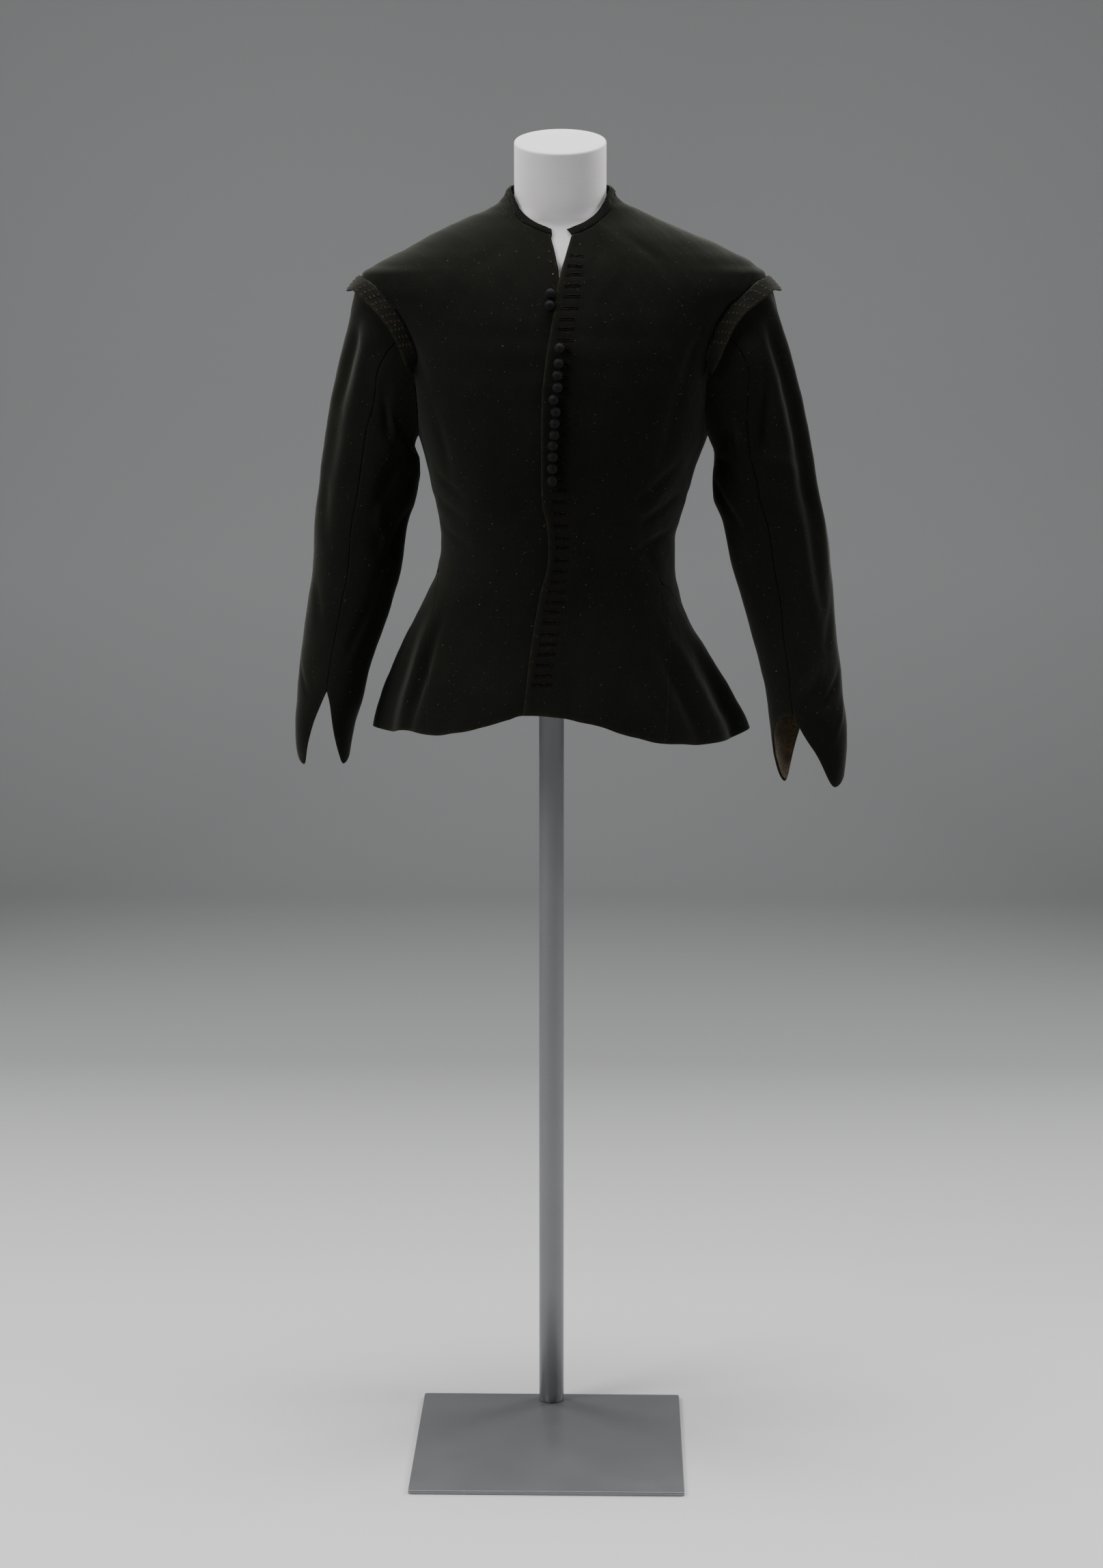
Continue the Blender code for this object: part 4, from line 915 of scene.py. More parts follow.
def spread(count, length, at_start, at_end):
    """Shares from 0 to 1 that lie closer beside an edge."""
    near = np.array(EDGE_LINES) / length
    parts = [np.linspace(0, 1, count + 1)]
    inside = (parts[0] > near[-1] * 1.3 * at_start) & (parts[0] < 1 - near[-1] * 1.3 * at_end)
    parts[0] = parts[0][inside]
    if at_start:
        parts = [[0.0], near] + parts
    if at_end:
        parts = parts + [1 - near[::-1], [1.0]]
    shares = np.unique(np.concatenate(parts + [[0.0, 1.0]]))
    return shares


SKIRT_SHARES = spread(SKIRT_ROWS, SKIRT_LENGTH, True, False)
ACROSS_SHARES = spread(FRONT_COLUMNS, ACROSS_LENGTH, True, True)


def patch(first, last, shares, lapped=False):
    """Points and directions of the cloth between two lines of angles and heights."""
    angle = first[0][:, None] * (1 - shares) + last[0][:, None] * shares
    height = first[1][:, None] * (1 - shares) + last[1][:, None] * shares
    skirt = slice(0, len(SKIRT_SHARES))
    level = hem_height(angle[:1]) - height[:1]
    height[skirt] += level * (1 - SKIRT_SHARES[:, None] ** 2)
    return body_surface(angle, height, lapped)


def weld(patches):
    """One set of points, directions and faces from grids that share their common edges."""
    points = np.concatenate([grid.reshape(-1, 3) for grid, _ in patches])
    normals = np.concatenate([normal.reshape(-1, 3) for _, normal in patches])
    keys = np.round(points / POINTS_MEET).astype(np.int64)
    _, first, index = np.unique(keys, axis=0, return_index=True, return_inverse=True)
    index = index.reshape(-1)
    faces, start = [], 0
    for grid, _ in patches:
        rows, columns = grid.shape[:2]
        place = index[start:start + rows * columns].reshape(rows, columns)
        start += rows * columns
        quads = np.stack([place[:-1, :-1], place[:-1, 1:], place[1:, 1:], place[1:, :-1]], axis=-1)
        for quad in quads.reshape(-1, 4).tolist():
            corners = list(dict.fromkeys(quad))
            if len(corners) > 2:
                faces.append(corners)
    return points[first], normals[first], faces


def rim_edges(faces, count):
    """Directed edges that only one face uses."""
    starts = [corner for face in faces for corner in face]
    ends = [corner for face in faces for corner in face[1:] + face[:1]]
    starts, ends = np.array(starts), np.array(ends)
    alone = ~np.isin(starts * count + ends, ends * count + starts)
    return starts[alone], ends[alone]


def shell(name, patches, thick, material, free, edge_drop=EDGE_DROP, edge_round=EDGE_ROUND,
          seam_roll=SEAM_ROLL):
    """A closed cloth shell, rounded at its free edges and less at its seams, and how worn it is."""
    points, normals, faces = weld(patches)
    count = len(points)
    starts, ends = rim_edges(faces, count)
    away = distances(points, points[starts])
    to_free = distances(points, np.concatenate(free) if free else free)
    wear = np.exp(-(to_free / WEAR_WIDTH) ** 2)
    roll = edge_drop * np.maximum(rolled(to_free / edge_round), seam_roll * rolled(away / edge_round))
    outer = points - normals * roll[:, None]
    inner = points - normals * (thick - roll * 0.5)[:, None]
    starts, ends = starts.tolist(), ends.tolist()
    rims = [[b, a, a + count, b + count] for a, b in zip(starts, ends)]
    backs = [[corner + count for corner in reversed(face)] for face in faces]
    item = mesh_object(name, np.concatenate([outer, inner]), faces + backs + rims, material)
    mark = item.data.attributes.new("wear", "FLOAT", "POINT")
    mark.data.foreach_set("value", np.concatenate([wear, wear]))
    return item


def rolled(share):
    """How far a rounded edge has dropped, from 1 at the edge to 0 where the round ends."""
    return 1 - np.sqrt(1 - np.clip(1 - share, 0, 1) ** 2 * 0.98)


def distances(points, edge):
    """How far each point is from the nearest point of an edge."""
    if not len(edge):
        return np.ones(len(points))
    tree = kdtree.KDTree(len(edge))
    for place, point in enumerate(edge):
        tree.insert(point, place)
    tree.balance()
    return np.array([tree.find(point)[2] for point in points])


def mesh_object(name, points, faces, material, sharp=math.radians(70)):
    """A smooth mesh object whose faces point outwards."""
    mesh = bpy.data.meshes.new(name)
    mesh.from_pydata(points.tolist(), [], faces)
    if volume(mesh) < 0:
        mesh.flip_normals()
    mesh.shade_smooth()
    mesh.set_sharp_from_angle(angle=sharp)
    mesh.materials.append(material)
    item = bpy.data.objects.new(name, mesh)
    bpy.context.scene.collection.objects.link(item)
    return item


def volume(mesh):
    """Signed volume of a closed mesh."""
    shape = bmesh.new()
    shape.from_mesh(mesh)
    total = shape.calc_volume(signed=True)
    shape.free()
    return total


def dress(item, slot, *nodes):
    """Let a piece ride with the garment, in place of its solids."""
    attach(item, "root")
    if nodes:
        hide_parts(*nodes)
    return item


def side_word(side):
    """The wearer's side, in a name."""
    return "right" if side < 0 else "left"


def make_front(side, material):
    """A front: from its closing edge round to the side seam, slashed at the hip for the gore."""
    apex = APEX[side]
    gore_front = seam_line(read_gore_front[side], side, apex, 0.0)
    gore_back = seam_line(read_gore_back[side], side, apex, 0.0)
    upward = above_gore_line(side, apex)
    armhole = armhole_line(side, behind=False)
    shoulder_turn = -side * SEAM_TURN
    armhole[0][-1] += shoulder_turn
    outer_edge = join(gore_front, upward, armhole)
    neck = neck_line(side, NECK_START[side], 90)
    neck[0][-1] += shoulder_turn
    rows = len(outer_edge[0]) - len(neck[0])
    level = CLOSING_FOOT + (neck[1][0] - CLOSING_FOOT) * closing_shares(rows)
    edge = closing_line(side, level)
    edge[0][-1] = neck[0][0]
    inner_edge = join(edge, neck)
    beside_end = join(seam_line(read_side_seam, side, apex, -side * SEAM_TURN),
                      side_line(side, -side * SEAM_TURN, apex))
    beside_start = join(gore_back, upward)
    beside_end[0][-1] = beside_start[0][-1]
    main = patch(inner_edge, outer_edge, ACROSS_SHARES, lapped=side > 0)
    beside = patch(beside_start, beside_end, spread(BESIDE_COLUMNS, 0.06, True, True))
    free = [main[0][0], main[0][:rows + 1, 0], beside[0][0]]
    node = "front_" + side_word(side)
    return dress(shell(node + "_cloth", (main, beside), WALL, material, free), "wool", node)


def closing_shares(rows):
    """Shares up the closing edge, closer together beside the hem."""
    near = np.array((0.0,) + EDGE_LINES) / CLOSING_LENGTH
    rest = np.linspace(near[-1], 1, rows - len(near) + 2)
    return np.concatenate([near[:-1], rest])


def make_gore(side, material):
    """A triangular hip gore between the two edges of the slash."""
    turn = side * SEAM_TURN * 2
    first = seam_line(read_gore_front[side], side, APEX[side], turn)
    last = seam_line(read_gore_back[side], side, APEX[side], -turn)
    cut = SKIRT_SHARES <= 1 - GORE_TOP_LEFT_OUT
    first, last = [tuple(line[cut] for line in edge) for edge in (first, last)]
    shares = spread(GORE_COLUMNS, 0.18, True, True)
    angle = first[0][:, None] * (1 - shares) + last[0][:, None] * shares
    height = first[1][:, None] * (1 - shares) + last[1][:, None] * shares
    height += (hem_height(angle[:1]) - height[:1]) * (1 - SKIRT_SHARES[cut][:, None] ** 2)
    node = "gore_" + side_word(side)
    grids = body_surface(angle, height)
    return dress(shell(node + "_cloth", (grids,), WALL, material, [grids[0][0]]), "wool", node)


def make_back(material):
    """The back, in one piece from side seam to side seam."""
    halves = []
    for side in (-1, 1):
        apex = APEX[side]
        seam = join(seam_line(read_side_seam, side, apex, side * SEAM_TURN),
                    side_line(side, side * SEAM_TURN, apex), armhole_line(side, behind=True))
        seam[0][-1] += side * SEAM_TURN
        neck = neck_line(side, 180, 90)
        neck[0][-1] += side * SEAM_TURN
        rows = len(seam[0]) - len(neck[0])
        foot = hem_height(np.array([math.pi]))[0]
        level = foot + (neck[1][0] - foot) * closing_shares(rows)
        middle = join((np.full(rows + 1, side * math.pi), level), neck)
        grids = patch(seam, middle, spread(BACK_COLUMNS, 0.3, True, False))
        halves.append(grids if side > 0 else [grid[:, ::-1] for grid in grids])
    free = [grids[0][0] for grids in halves]
    return dress(shell("back_cloth", halves, WALL, material, free), "wool", "back")


def band_frame(way):
    """Foot, top and direction of the neckband at degrees round the neck."""
    side = np.where(way > -180, -1.0, 1.0)
    row = read_neckline(180 - np.abs(way + 180))
    angle, low, high = side * np.radians(row[..., 0]), row[..., 1], row[..., 2]
    foot = torso(angle, low)
    top = neck_surface(np.radians(way), high, BAND_FREE + BAND_WALL)
    outward = unit(np.cross(np.gradient(foot, axis=0), top - foot))
    outward *= np.sign(np.sum(outward * (foot - foot.mean(axis=0)), axis=-1))[:, None]
    return foot + np.array([0, 0, SEAM]), top, torso_normal(angle, low), outward


def band_way():
    """Degrees round the neck from the right front's end by the back to the left front's end."""
    first, last = -NECK_START[-1], NECK_START[1] - 360
    shares = spread(BAND_COLUMNS, 0.45, True, True)
    return first + (last - first) * shares


def band_surface(way, share, frame_parts):
    """Outer face of the neckband, slightly full between its two edges."""
    foot, top, low_normal, outward = frame_parts
    bend = ease(share / 0.5)[:, None, None]
    normal = unit(low_normal * (1 - bend) + outward * bend)
    point = foot + (top - foot) * share[:, None, None]
    ribs = BAND_RIB * np.sin(np.radians(way) * NECK_HALF_WIDTH * 2 * math.pi / BAND_STITCH_PITCH)
    rise = np.sin(math.pi * share)[:, None] * (BAND_FULL + ribs)
    return point + normal * rise[..., None], normal


def make_neckband(material):
    """The narrow neckband with the ribs that its rows of stitches make."""
    way = band_way()
    share = np.array(BAND_SHARES)
    grids = band_surface(way, share, band_frame(way))
    item = shell("neckband_cloth", (grids,), BAND_WALL, material, [], edge_drop=0.0010, edge_round=0.0014,
                 seam_roll=1.0)
    return dress(item, "wool", "neckband")


def sleeve_rise(side, turn, ring, point):
    """How far a sleeve's folds, creases and waviness stand out."""
    degrees = np.degrees(turn)
    rise = sleeve_fold_rise(side, turn, ring)
    creases = sum(crease_rise(SLEEVE_CREASES[side], degrees + turned, ring, SLEEVE_DEGREE, SLEEVE_RING)
                  for turned in (0, 360, -360))
    return rise + (creases + uneven_rise(point)) * ease(ring / CREASES_FROM_RING)


def sleeve_surface(side, turn, ring, lift=0.0):
    """Outer face of a sleeve's cloth, and its outward direction."""
    turn, ring = np.broadcast_arrays(turn, ring)
    point, normal = sleeve(side, turn, ring), sleeve_normal(side, turn, ring)
    return point + normal * (sleeve_rise(side, turn, ring, point) + lift)[..., None], normal


def tab_shape(side, outer_piece, share):
    """How far down a cuff tab reaches at shares across it, with a blunt point."""
    point, first_power, last_power = TABS[side, outer_piece]
    away = np.where(share < point, (point - share) / point, (share - point) / (1 - point))
    blunt = (TIP_MOST - np.hypot(away, TIP_BLUNT)) / (TIP_MOST - TIP_BLUNT)
    return blunt.clip(0, 1) ** np.where(share < point, first_power, last_power)


def sleeve_grid(side, outer_piece, first_ring, hem_back, columns, rows):
    """Angles and rings of one sleeve piece, which ends in a point between two notches."""
    peak = tab_shape(side, outer_piece, columns)
    last = NOTCH_RING[side] + (TIP_RING - NOTCH_RING[side]) * peak - hem_back
    ring = first_ring + (last - first_ring) * rows[:, None]
    seams = np.radians(read_sleeve[side](ring)[..., 6:8])
    if outer_piece:
        start, end = -seams[..., 1] + SLEEVE_SEAM_TURN, seams[..., 0] - SLEEVE_SEAM_TURN
    else:
        start = seams[..., 0] + SLEEVE_SEAM_TURN
        end = 2 * math.pi - seams[..., 1] - SLEEVE_SEAM_TURN
    return start + (end - start) * columns, ring


def make_sleeve_piece(side, outer_piece, material):
    """One of the two pieces of a sleeve, ending in a pointed tab between two notches."""
    columns = spread(SLEEVE_COLUMNS, SLEEVE_ACROSS, True, True)
    rows = spread(SLEEVE_ROWS, SLEEVE_LENGTH, True, True)
    turn, ring = sleeve_grid(side, outer_piece, 0.0, 0.0, columns, rows)
    node = "sleeve_%s_%s" % (side_word(side), "outer" if outer_piece else "inner")
    grids = sleeve_surface(side, turn, ring)
    item = shell(node + "_cloth", (grids,), SLEEVE_WALL, material, [grids[0][-1]], seam_roll=0.9)
    return dress(item, "wool", node)


def make_cuff_lining(material):
    """The lining inside the inner tab of the wearer's left cuff."""
    columns, rows = np.linspace(0, 1, LINING_COLUMNS), np.linspace(0, 1, LINING_ROWS)
    turn, ring = sleeve_grid(LINING_SIDE, False, LINING_FIRST_RING, LINING_HEM_BACK, columns, rows)
    grids = sleeve_surface(LINING_SIDE, turn, ring, -(SLEEVE_WALL + CONTACT * 2))
    item = shell("cuff_lining_left_cloth", (grids,), LINING_WALL, material, [], edge_drop=0.0)
    return dress(item, "linen_lining", "cuff_lining_left")


def wing_surface(side, turn, share):
    """Outer face of a wing at turns round the sleeve head and shares of its width."""
    rings = np.linspace(0, WING_LAST_RING, WING_STEPS)[:, None]
    line = sleeve(side, turn, rings)
    steps = np.linalg.norm(np.diff(line, axis=0), axis=-1)
    length = np.concatenate([np.zeros((1, len(turn))), np.cumsum(steps, axis=0)])
    width = np.interp(np.abs(np.degrees(turn)), *np.transpose(WING_TAPER))
    ring = np.array([[np.interp(width[column] * part, length[:, column], rings[:, 0])
                      for column in range(len(turn))] for part in share])
    turn_grid = np.broadcast_to(turn, ring.shape)
    point, normal = sleeve(side, turn_grid, ring), sleeve_normal(side, turn_grid, ring)
    part = np.array(share)[:, None]
    edge_rise = WING_EDGE_RISE + WING_STAND * np.cos(turn_grid).clip(0) ** 2
    rise = WING_SEAM_RISE + (edge_rise - WING_SEAM_RISE) * part + WING_WALL
    rise = rise + sleeve_rise(side, turn_grid, ring, point).clip(0)
    degrees = np.degrees(turn_grid)
    waves = np.sin(degrees * WING_WAVES[0] + side) * np.sin(degrees * WING_WAVES[1])
    rise = rise + WING_WAVE_RISE * (1 + waves) * part
    return point + normal * rise[..., None], normal


def make_wing(side, material):
    """The stiff band that stands over a sleeve head."""
    shares = spread(WING_COLUMNS, 0.35, True, True)
    turn = np.radians(-WING_REACH + 2 * WING_REACH * shares)
    grids = wing_surface(side, turn, spread(WING_ROWS, WING_WIDTH, True, True))
    node = "wing_" + side_word(side)
    item = shell(node + "_cloth", (grids,), WING_WALL, material, [grids[0][-1]], edge_drop=0.0007,
                 edge_round=0.0016)
    return dress(item, "wool", node)


def strand(points, normals, radius, sides=6):
    """Points and faces of one thread along a line, narrower at its ends."""
    tangents = unit(np.gradient(points, axis=0))
    across = unit(np.cross(tangents, normals))
    up = np.cross(across, tangents)
    angles = np.arange(sides) * 2 * math.pi / sides
    ring = np.cos(angles)[None, :, None] * across[:, None] + np.sin(angles)[None, :, None] * up[:, None]
    radius = np.broadcast_to(radius, (len(points),)).copy()
    radius[[0, -1]] *= STRAND_END
    verts = points[:, None] + ring * radius[:, None, None]
    count = len(points)
    faces = []
    for row in range(count - 1):
        for side in range(sides):
            following = (side + 1) % sides
            faces.append([row * sides + side, row * sides + following,
                          (row + 1) * sides + following, (row + 1) * sides + side])
    faces.append(list(range(sides))[::-1])
    faces.append([(count - 1) * sides + side for side in range(sides)])
    return verts.reshape(-1, 3), faces


def strands_object(name, parts, material, slot):
    """One piece from many threads."""
    start, points, faces = 0, [], []
    for verts, part_faces in parts:
        points.append(verts)
        faces += [[corner + start for corner in face] for face in part_faces]
        start += len(verts)
    return dress(mesh_object(name, np.concatenate(points), faces, material), slot)


def front_place(x, height, lapped, lift=0.0):
    """Points on a front at places across and heights, and their directions."""
    point, normal = body_surface(torso_angle(x, height), height, lapped)
    return point + normal * lift, normal


def hole_spans():
    """Height, start and end of each worked buttonhole."""
    spans = [(height,) + tuple(read_hole_span(height)) for height in HOLE_HEIGHTS]
    spans += [(height, float(read_hole_span(height)[0]), x + HOLE_BEYOND_BUTTON) for height, x in FASTENED]
    return spans


def make_buttonholes(material, slit_painted_shadow_material):
    """The worked buttonholes: two ribbed lips of thread, a bar at each end and, in each slit, a dark strand
    as painted shadow.
    """
    chance = np.random.default_rng(HOLE_SEED)
    lips, slits = [], []
    for height, start, end in hole_spans():
        tilt = chance.uniform(-HOLE_TILT, HOLE_TILT)
        x = np.arange(start, end, LIP_PITCH / 4)
        share = (x - start) / (end - start)
        middle = height + tilt * (x - start)
        wander = np.sin(share * 7 + chance.uniform(0, 6)) * HOLE_WANDER
        for way in (-1, 1):
            ribs = 1 + LIP_RIB * np.sin(2 * math.pi * x / LIP_PITCH + way)
            swell = 1 + LIP_SWELL * np.sin(share * 11 + chance.uniform(0, 6))
            line = middle + wander + way * LIP_APART * (0.75 + 0.35 * np.sin(math.pi * share))
            lips.append(strand(*front_place(x, line, True, LIP_LIFT), LIP_RADIUS * ribs * swell))
        # A dark strand sunk in the slit: painted shadow of the opening
        slits.append(strand(*front_place(x[::4], (middle + wander)[::4], True, -0.0002), SLIT_PAINTED_SHADOW_RADIUS))
        for bar in (x[1], x[-2]):
            line = np.linspace(-END_BAR, END_BAR, 18) + float(middle.mean())
            ribs = 1 + LIP_RIB * np.sin(2 * math.pi * line / LIP_PITCH)
            across = bar + 0 * line
            lips.append(strand(*front_place(across, line, True, LIP_LIFT), LIP_RADIUS * 0.9 * ribs))
    strands_object("buttonholes", lips, material, "button_thread")
    strands_object("buttonhole_slit_painted_shadows", slits, slit_painted_shadow_material, "button_thread")


def make_button(number, material):
    """A ball button worked over with thread, where its solid is."""
    node = "button_%02d" % number
    low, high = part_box(node)
    centre = np.array((low + high) / 2)
    angle = torso_angle(centre[0], centre[2])
    out = torso_normal(np.array([angle]), np.array([centre[2]]))[0]
    side = unit(np.cross(out, np.array([0, 0, 1.0])))
    up = np.cross(side, out)
    around = np.arange(BUTTON_ROUND) * 2 * math.pi / BUTTON_ROUND
    down = np.linspace(0, math.pi, BUTTON_DOWN)[:, None]
    weave = np.sin(around * BUTTON_SPOKES + down * BUTTON_TWIST + number)
    rows = np.sin(down * BUTTON_ROWS + np.sign(weave))
    radius = BUTTON_RADIUS * (1 + BUTTON_RELIEF * (weave * 0.6 + rows * 0.6) * np.sin(down) ** 0.5)
    flat = np.cos(down) * radius * BUTTON_FLAT
    ring = np.sin(down) * radius
    verts = (centre + flat[..., None] * out + (ring * np.cos(around))[..., None] * side
             + (ring * np.sin(around))[..., None] * up)
    faces = []
    for row in range(BUTTON_DOWN - 1):
        for step in range(BUTTON_ROUND):
            following = (step + 1) % BUTTON_ROUND
            faces.append([row * BUTTON_ROUND + step, row * BUTTON_ROUND + following,
                          (row + 1) * BUTTON_ROUND + following, (row + 1) * BUTTON_ROUND + step])
    last = (BUTTON_DOWN - 1) * BUTTON_ROUND
    verts = verts.reshape(-1, 3)
    verts[:BUTTON_ROUND] = verts[:BUTTON_ROUND].mean(axis=0) + (verts[:BUTTON_ROUND] - centre) * 0.001
    keep = np.concatenate([verts[:1], verts[BUTTON_ROUND:last], verts[-1:]])
    faces = [capped(face, last) for face in faces]
    return dress(mesh_object(node + "_worked", keep, faces, material), "button_thread", node)


def capped(face, last):
    """A ball's face with every pole point made one."""
    corners = []
    for corner in face:
        if corner < BUTTON_ROUND:
            corner = 0
        elif corner >= last:
            corner = last - BUTTON_ROUND + 1
        else:
            corner = corner - BUTTON_ROUND + 1
        if corner not in corners:
            corners.append(corner)
    return corners


def stitch_row(surface, across, along, half_across, half_along, chance):
    """Small threads over a seam, each with its own length, slant and thickness."""
    share = np.linspace(-1, 1, STITCH_POINTS)
    points, normals = surface(across + share * half_across, along + share * half_along)
    lift = STITCH_LIFT - STITCH_SINK * (1 - share ** 2)
    points = points + normals * lift[:, None]
    thick = STITCH_RADIUS * chance.uniform(0.75, 1.2, len(points))
    return [strand(*one, 5) for one in zip(points, normals, thick)]


def make_gore_stitches(material):
    """Whip stitches over both seams of each gore."""
    chance = np.random.default_rng(GORE_SEED)
    parts = []
    for side in (-1, 1):
        for read, turn in ((read_gore_front[side], 1), (read_gore_back[side], -1)):
            foot = float(hem_height(side * np.radians(read(HEM_GUESS)[0]))) + 0.004
            height = np.arange(foot, APEX[side] - 0.001, GORE_STITCH_PITCH)[:, None]
            middle = side * (np.radians(read(height)[..., 0]) + turn * SEAM_TURN)
            half = GORE_STITCH_HALF * chance.uniform(0.7, 1.2, height.shape)
            slant = chance.uniform(0.2, 0.5, height.shape)
            parts += stitch_row(lambda angle, level: body_surface(angle, level),
                                middle, height, half / GORE_RADIUS, half * slant, chance)
    return strands_object("gore_stitches", parts, material, "button_thread")


def make_sleeve_stitches(material):
    """Picked stitches along both seams of each sleeve."""
    chance = np.random.default_rng(SLEEVE_SEED)
    parts = []
    for side in (-1, 1):
        for column in (6, 7):
            ring = np.arange(0.9, NOTCH_RING[side] - 0.05, SLEEVE_STITCH_PITCH / SLEEVE_RING)[:, None]
            seam = np.radians(read_sleeve[side](ring)[..., column]) * (1 if column == 6 else -1)
            half = SLEEVE_STITCH_HALF * chance.uniform(0.6, 1.2, ring.shape)
            slant = chance.uniform(-0.5, 0.9, ring.shape)
            parts += stitch_row(lambda turn, rings: sleeve_surface(side, turn, rings),
                                seam, ring, half / SLEEVE_HALF_WIDTH, half * slant / SLEEVE_RING, chance)
    return strands_object("sleeve_stitches", parts, material, "button_thread")


def make_band_stitches(material):
    """Two rows of small stitches round the neckband."""
    parts = []
    pitch = math.degrees(BAND_STITCH_PITCH / (NECK_HALF_WIDTH + BAND_FREE))
    steps = np.arange(-NECK_START[-1] - pitch, NECK_START[1] - 360 + pitch, -pitch)
    line = (steps[:, None] + pitch * BAND_STITCH_SHARE * np.linspace(0.5, -0.5, 5)).ravel()
    for share in BAND_STITCH_SHARES:
        points, normals = band_surface(line, np.array([share]), band_frame(line))
        points = (points + normals * STITCH_LIFT).reshape(-1, 5, 3)
        parts += [strand(point, normal, STITCH_RADIUS, 5)
                  for point, normal in zip(points, normals.reshape(-1, 5, 3))]
    return strands_object("neckband_stitches", parts, material, "button_thread")


def between(grid, row, column):
    """Values of a grid at places between its rows and columns."""
    low_row = np.clip(row.astype(int), 0, grid.shape[0] - 2)
    low_column = np.clip(column.astype(int), 0, grid.shape[1] - 2)
    down, across = (row - low_row)[:, None], (column - low_column)[:, None]
    upper = grid[low_row, low_column] * (1 - across) + grid[low_row, low_column + 1] * across
    lower = grid[low_row + 1, low_column] * (1 - across) + grid[low_row + 1, low_column + 1] * across
    return upper * (1 - down) + lower * down


def make_wing_slits(material):
    """Rows of small slits across each wing, each worked round with thread."""
    chance = np.random.default_rng(SLIT_SEED)
    parts = []
    share = np.linspace(-0.97, 0.97, SLIT_POINTS)
    for side in (-1, 1):
        fine = np.radians(np.linspace(-SLIT_REACH, SLIT_REACH, SLIT_GRID[0]))
        points, normals = wing_surface(side, fine, np.linspace(0, 1, SLIT_GRID[1]))
        middle_line = points[SLIT_GRID[1] // 2]
        steps = np.linalg.norm(np.diff(middle_line, axis=0), axis=-1)
        length = np.concatenate([[0], np.cumsum(steps)])
        for place in np.arange(SLIT_PITCH[side] / 2, length[-1], SLIT_PITCH[side]):
            for part in SLIT_PLACES:
                middle = place + chance.uniform(-SLIT_STRAY, SLIT_STRAY)
                half = SLIT_HALF * chance.uniform(0.7, 1.1)
                column = np.interp(middle + half * share, length, np.arange(len(length)))
                for way in (-1, 1):
                    bow = way * SLIT_APART / WING_WIDTH * np.sqrt(1 - share ** 2)
                    row = (part + bow) * (SLIT_GRID[1] - 1)
                    point, normal = between(points, row, column), between(normals, row, column)
                    parts.append(strand(point + normal * STITCH_LIFT, normal, SLIT_RADIUS, 5))
    return strands_object("wing_slits", parts, material, "button_thread")


def make_remnants(material):
    """Short ends of thread where buttons are gone."""
    chance = np.random.default_rng(REMNANT_SEED)
    parts = []
    for x, height in REMNANTS:
        for _ in range(REMNANT_ENDS):
            share = np.linspace(-1, 1, 9)
            turn, bow = chance.uniform(0, math.pi), chance.uniform(-0.0008, 0.0008)
            across = x + share * 0.0014 * math.cos(turn) + bow * share ** 2 * math.sin(turn)
            level = height + share * 0.0014 * math.sin(turn) - bow * share ** 2 * math.cos(turn)
            point, normal = front_place(across, level, False)
            lift = 0.0002 + 0.0006 * (1 - share ** 2) * chance.uniform(0.3, 1.0)
            parts.append(strand(point + normal * lift[:, None], normal, 0.00022, 5))
    return strands_object("thread_remnants", parts, material, "button_thread")


def ring_faces(rings, sides):
    """Faces between level rings of points, with a cap at each end."""
    faces = []
    for ring in range(rings - 1):
        for step in range(sides):
            following = (step + 1) % sides
            low, high = ring * sides, (ring + 1) * sides
            faces.append([low + step, low + following, high + following, high + step])
    faces.append(list(range(sides))[::-1])
    faces.append([(rings - 1) * sides + step for step in range(sides)])
    return faces


def form_ring(angle, height):
    """One level ring of the dress form."""
    level = np.full(len(angle), height)
    sloping = ease((height - FORM_SLOPE_FROM) / (FORM_SLOPE_FULL - FORM_SLOPE_FROM))
    inward = unit(torso_normal(angle, level) * np.array([1, 1, sloping]))
    body = torso(angle, level) - inward * read_inset(level)
    neck = neck_surface(angle, level, 0.0)
    share = ease((height - NECK_FROM) / (NECK_FULL - NECK_FROM))
    return body * (1 - share) + neck * share


def make_form(material):
    """The smooth dress form with its tilted neck cap."""
    angle = np.radians(np.arange(FORM_SIDES) * 360 / FORM_SIDES)
    rings = [form_ring(angle, height) for height in np.linspace(FORM_BOTTOM, NECK_CAP_FROM, FORM_RINGS)]
    for inward, down in CAP_PROFILE:
        level = np.full(FORM_SIDES, NECK_TOP)
        top = neck_surface(angle, level, -inward)
        top[:, 2] += (top[:, 1] - NECK_LEAN[3]) * math.tan(NECK_CAP_TILT) - down
        rings.append(top)
    item = mesh_object("dress_form_cover", np.concatenate(rings), ring_faces(len(rings), FORM_SIDES),
                       material)
    return dress(item, "form_cover", "dress_form")


def make_pole(material):
    """The round pole, with its edges broken."""
    low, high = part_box("pole")
    angle = np.radians(np.arange(POLE_SIDES) * 360 / POLE_SIDES)
    radius, bevel = (high.x - low.x) / 2, POLE_BEVEL
    levels = [(low.z, radius - bevel), (low.z + bevel, radius)]
    levels += [(height, radius) for height in np.linspace(low.z + 0.01, high.z - 0.01, 12)]
    levels += [(high.z - bevel, radius), (high.z, radius - bevel)]
    rings = [np.stack([wide * np.sin(angle), -wide * np.cos(angle), height + 0 * angle], axis=-1)
             for height, wide in levels]
    item = mesh_object("pole_painted", np.concatenate(rings), ring_faces(len(rings), POLE_SIDES), material)
    return dress(item, "stand_paint", "pole")


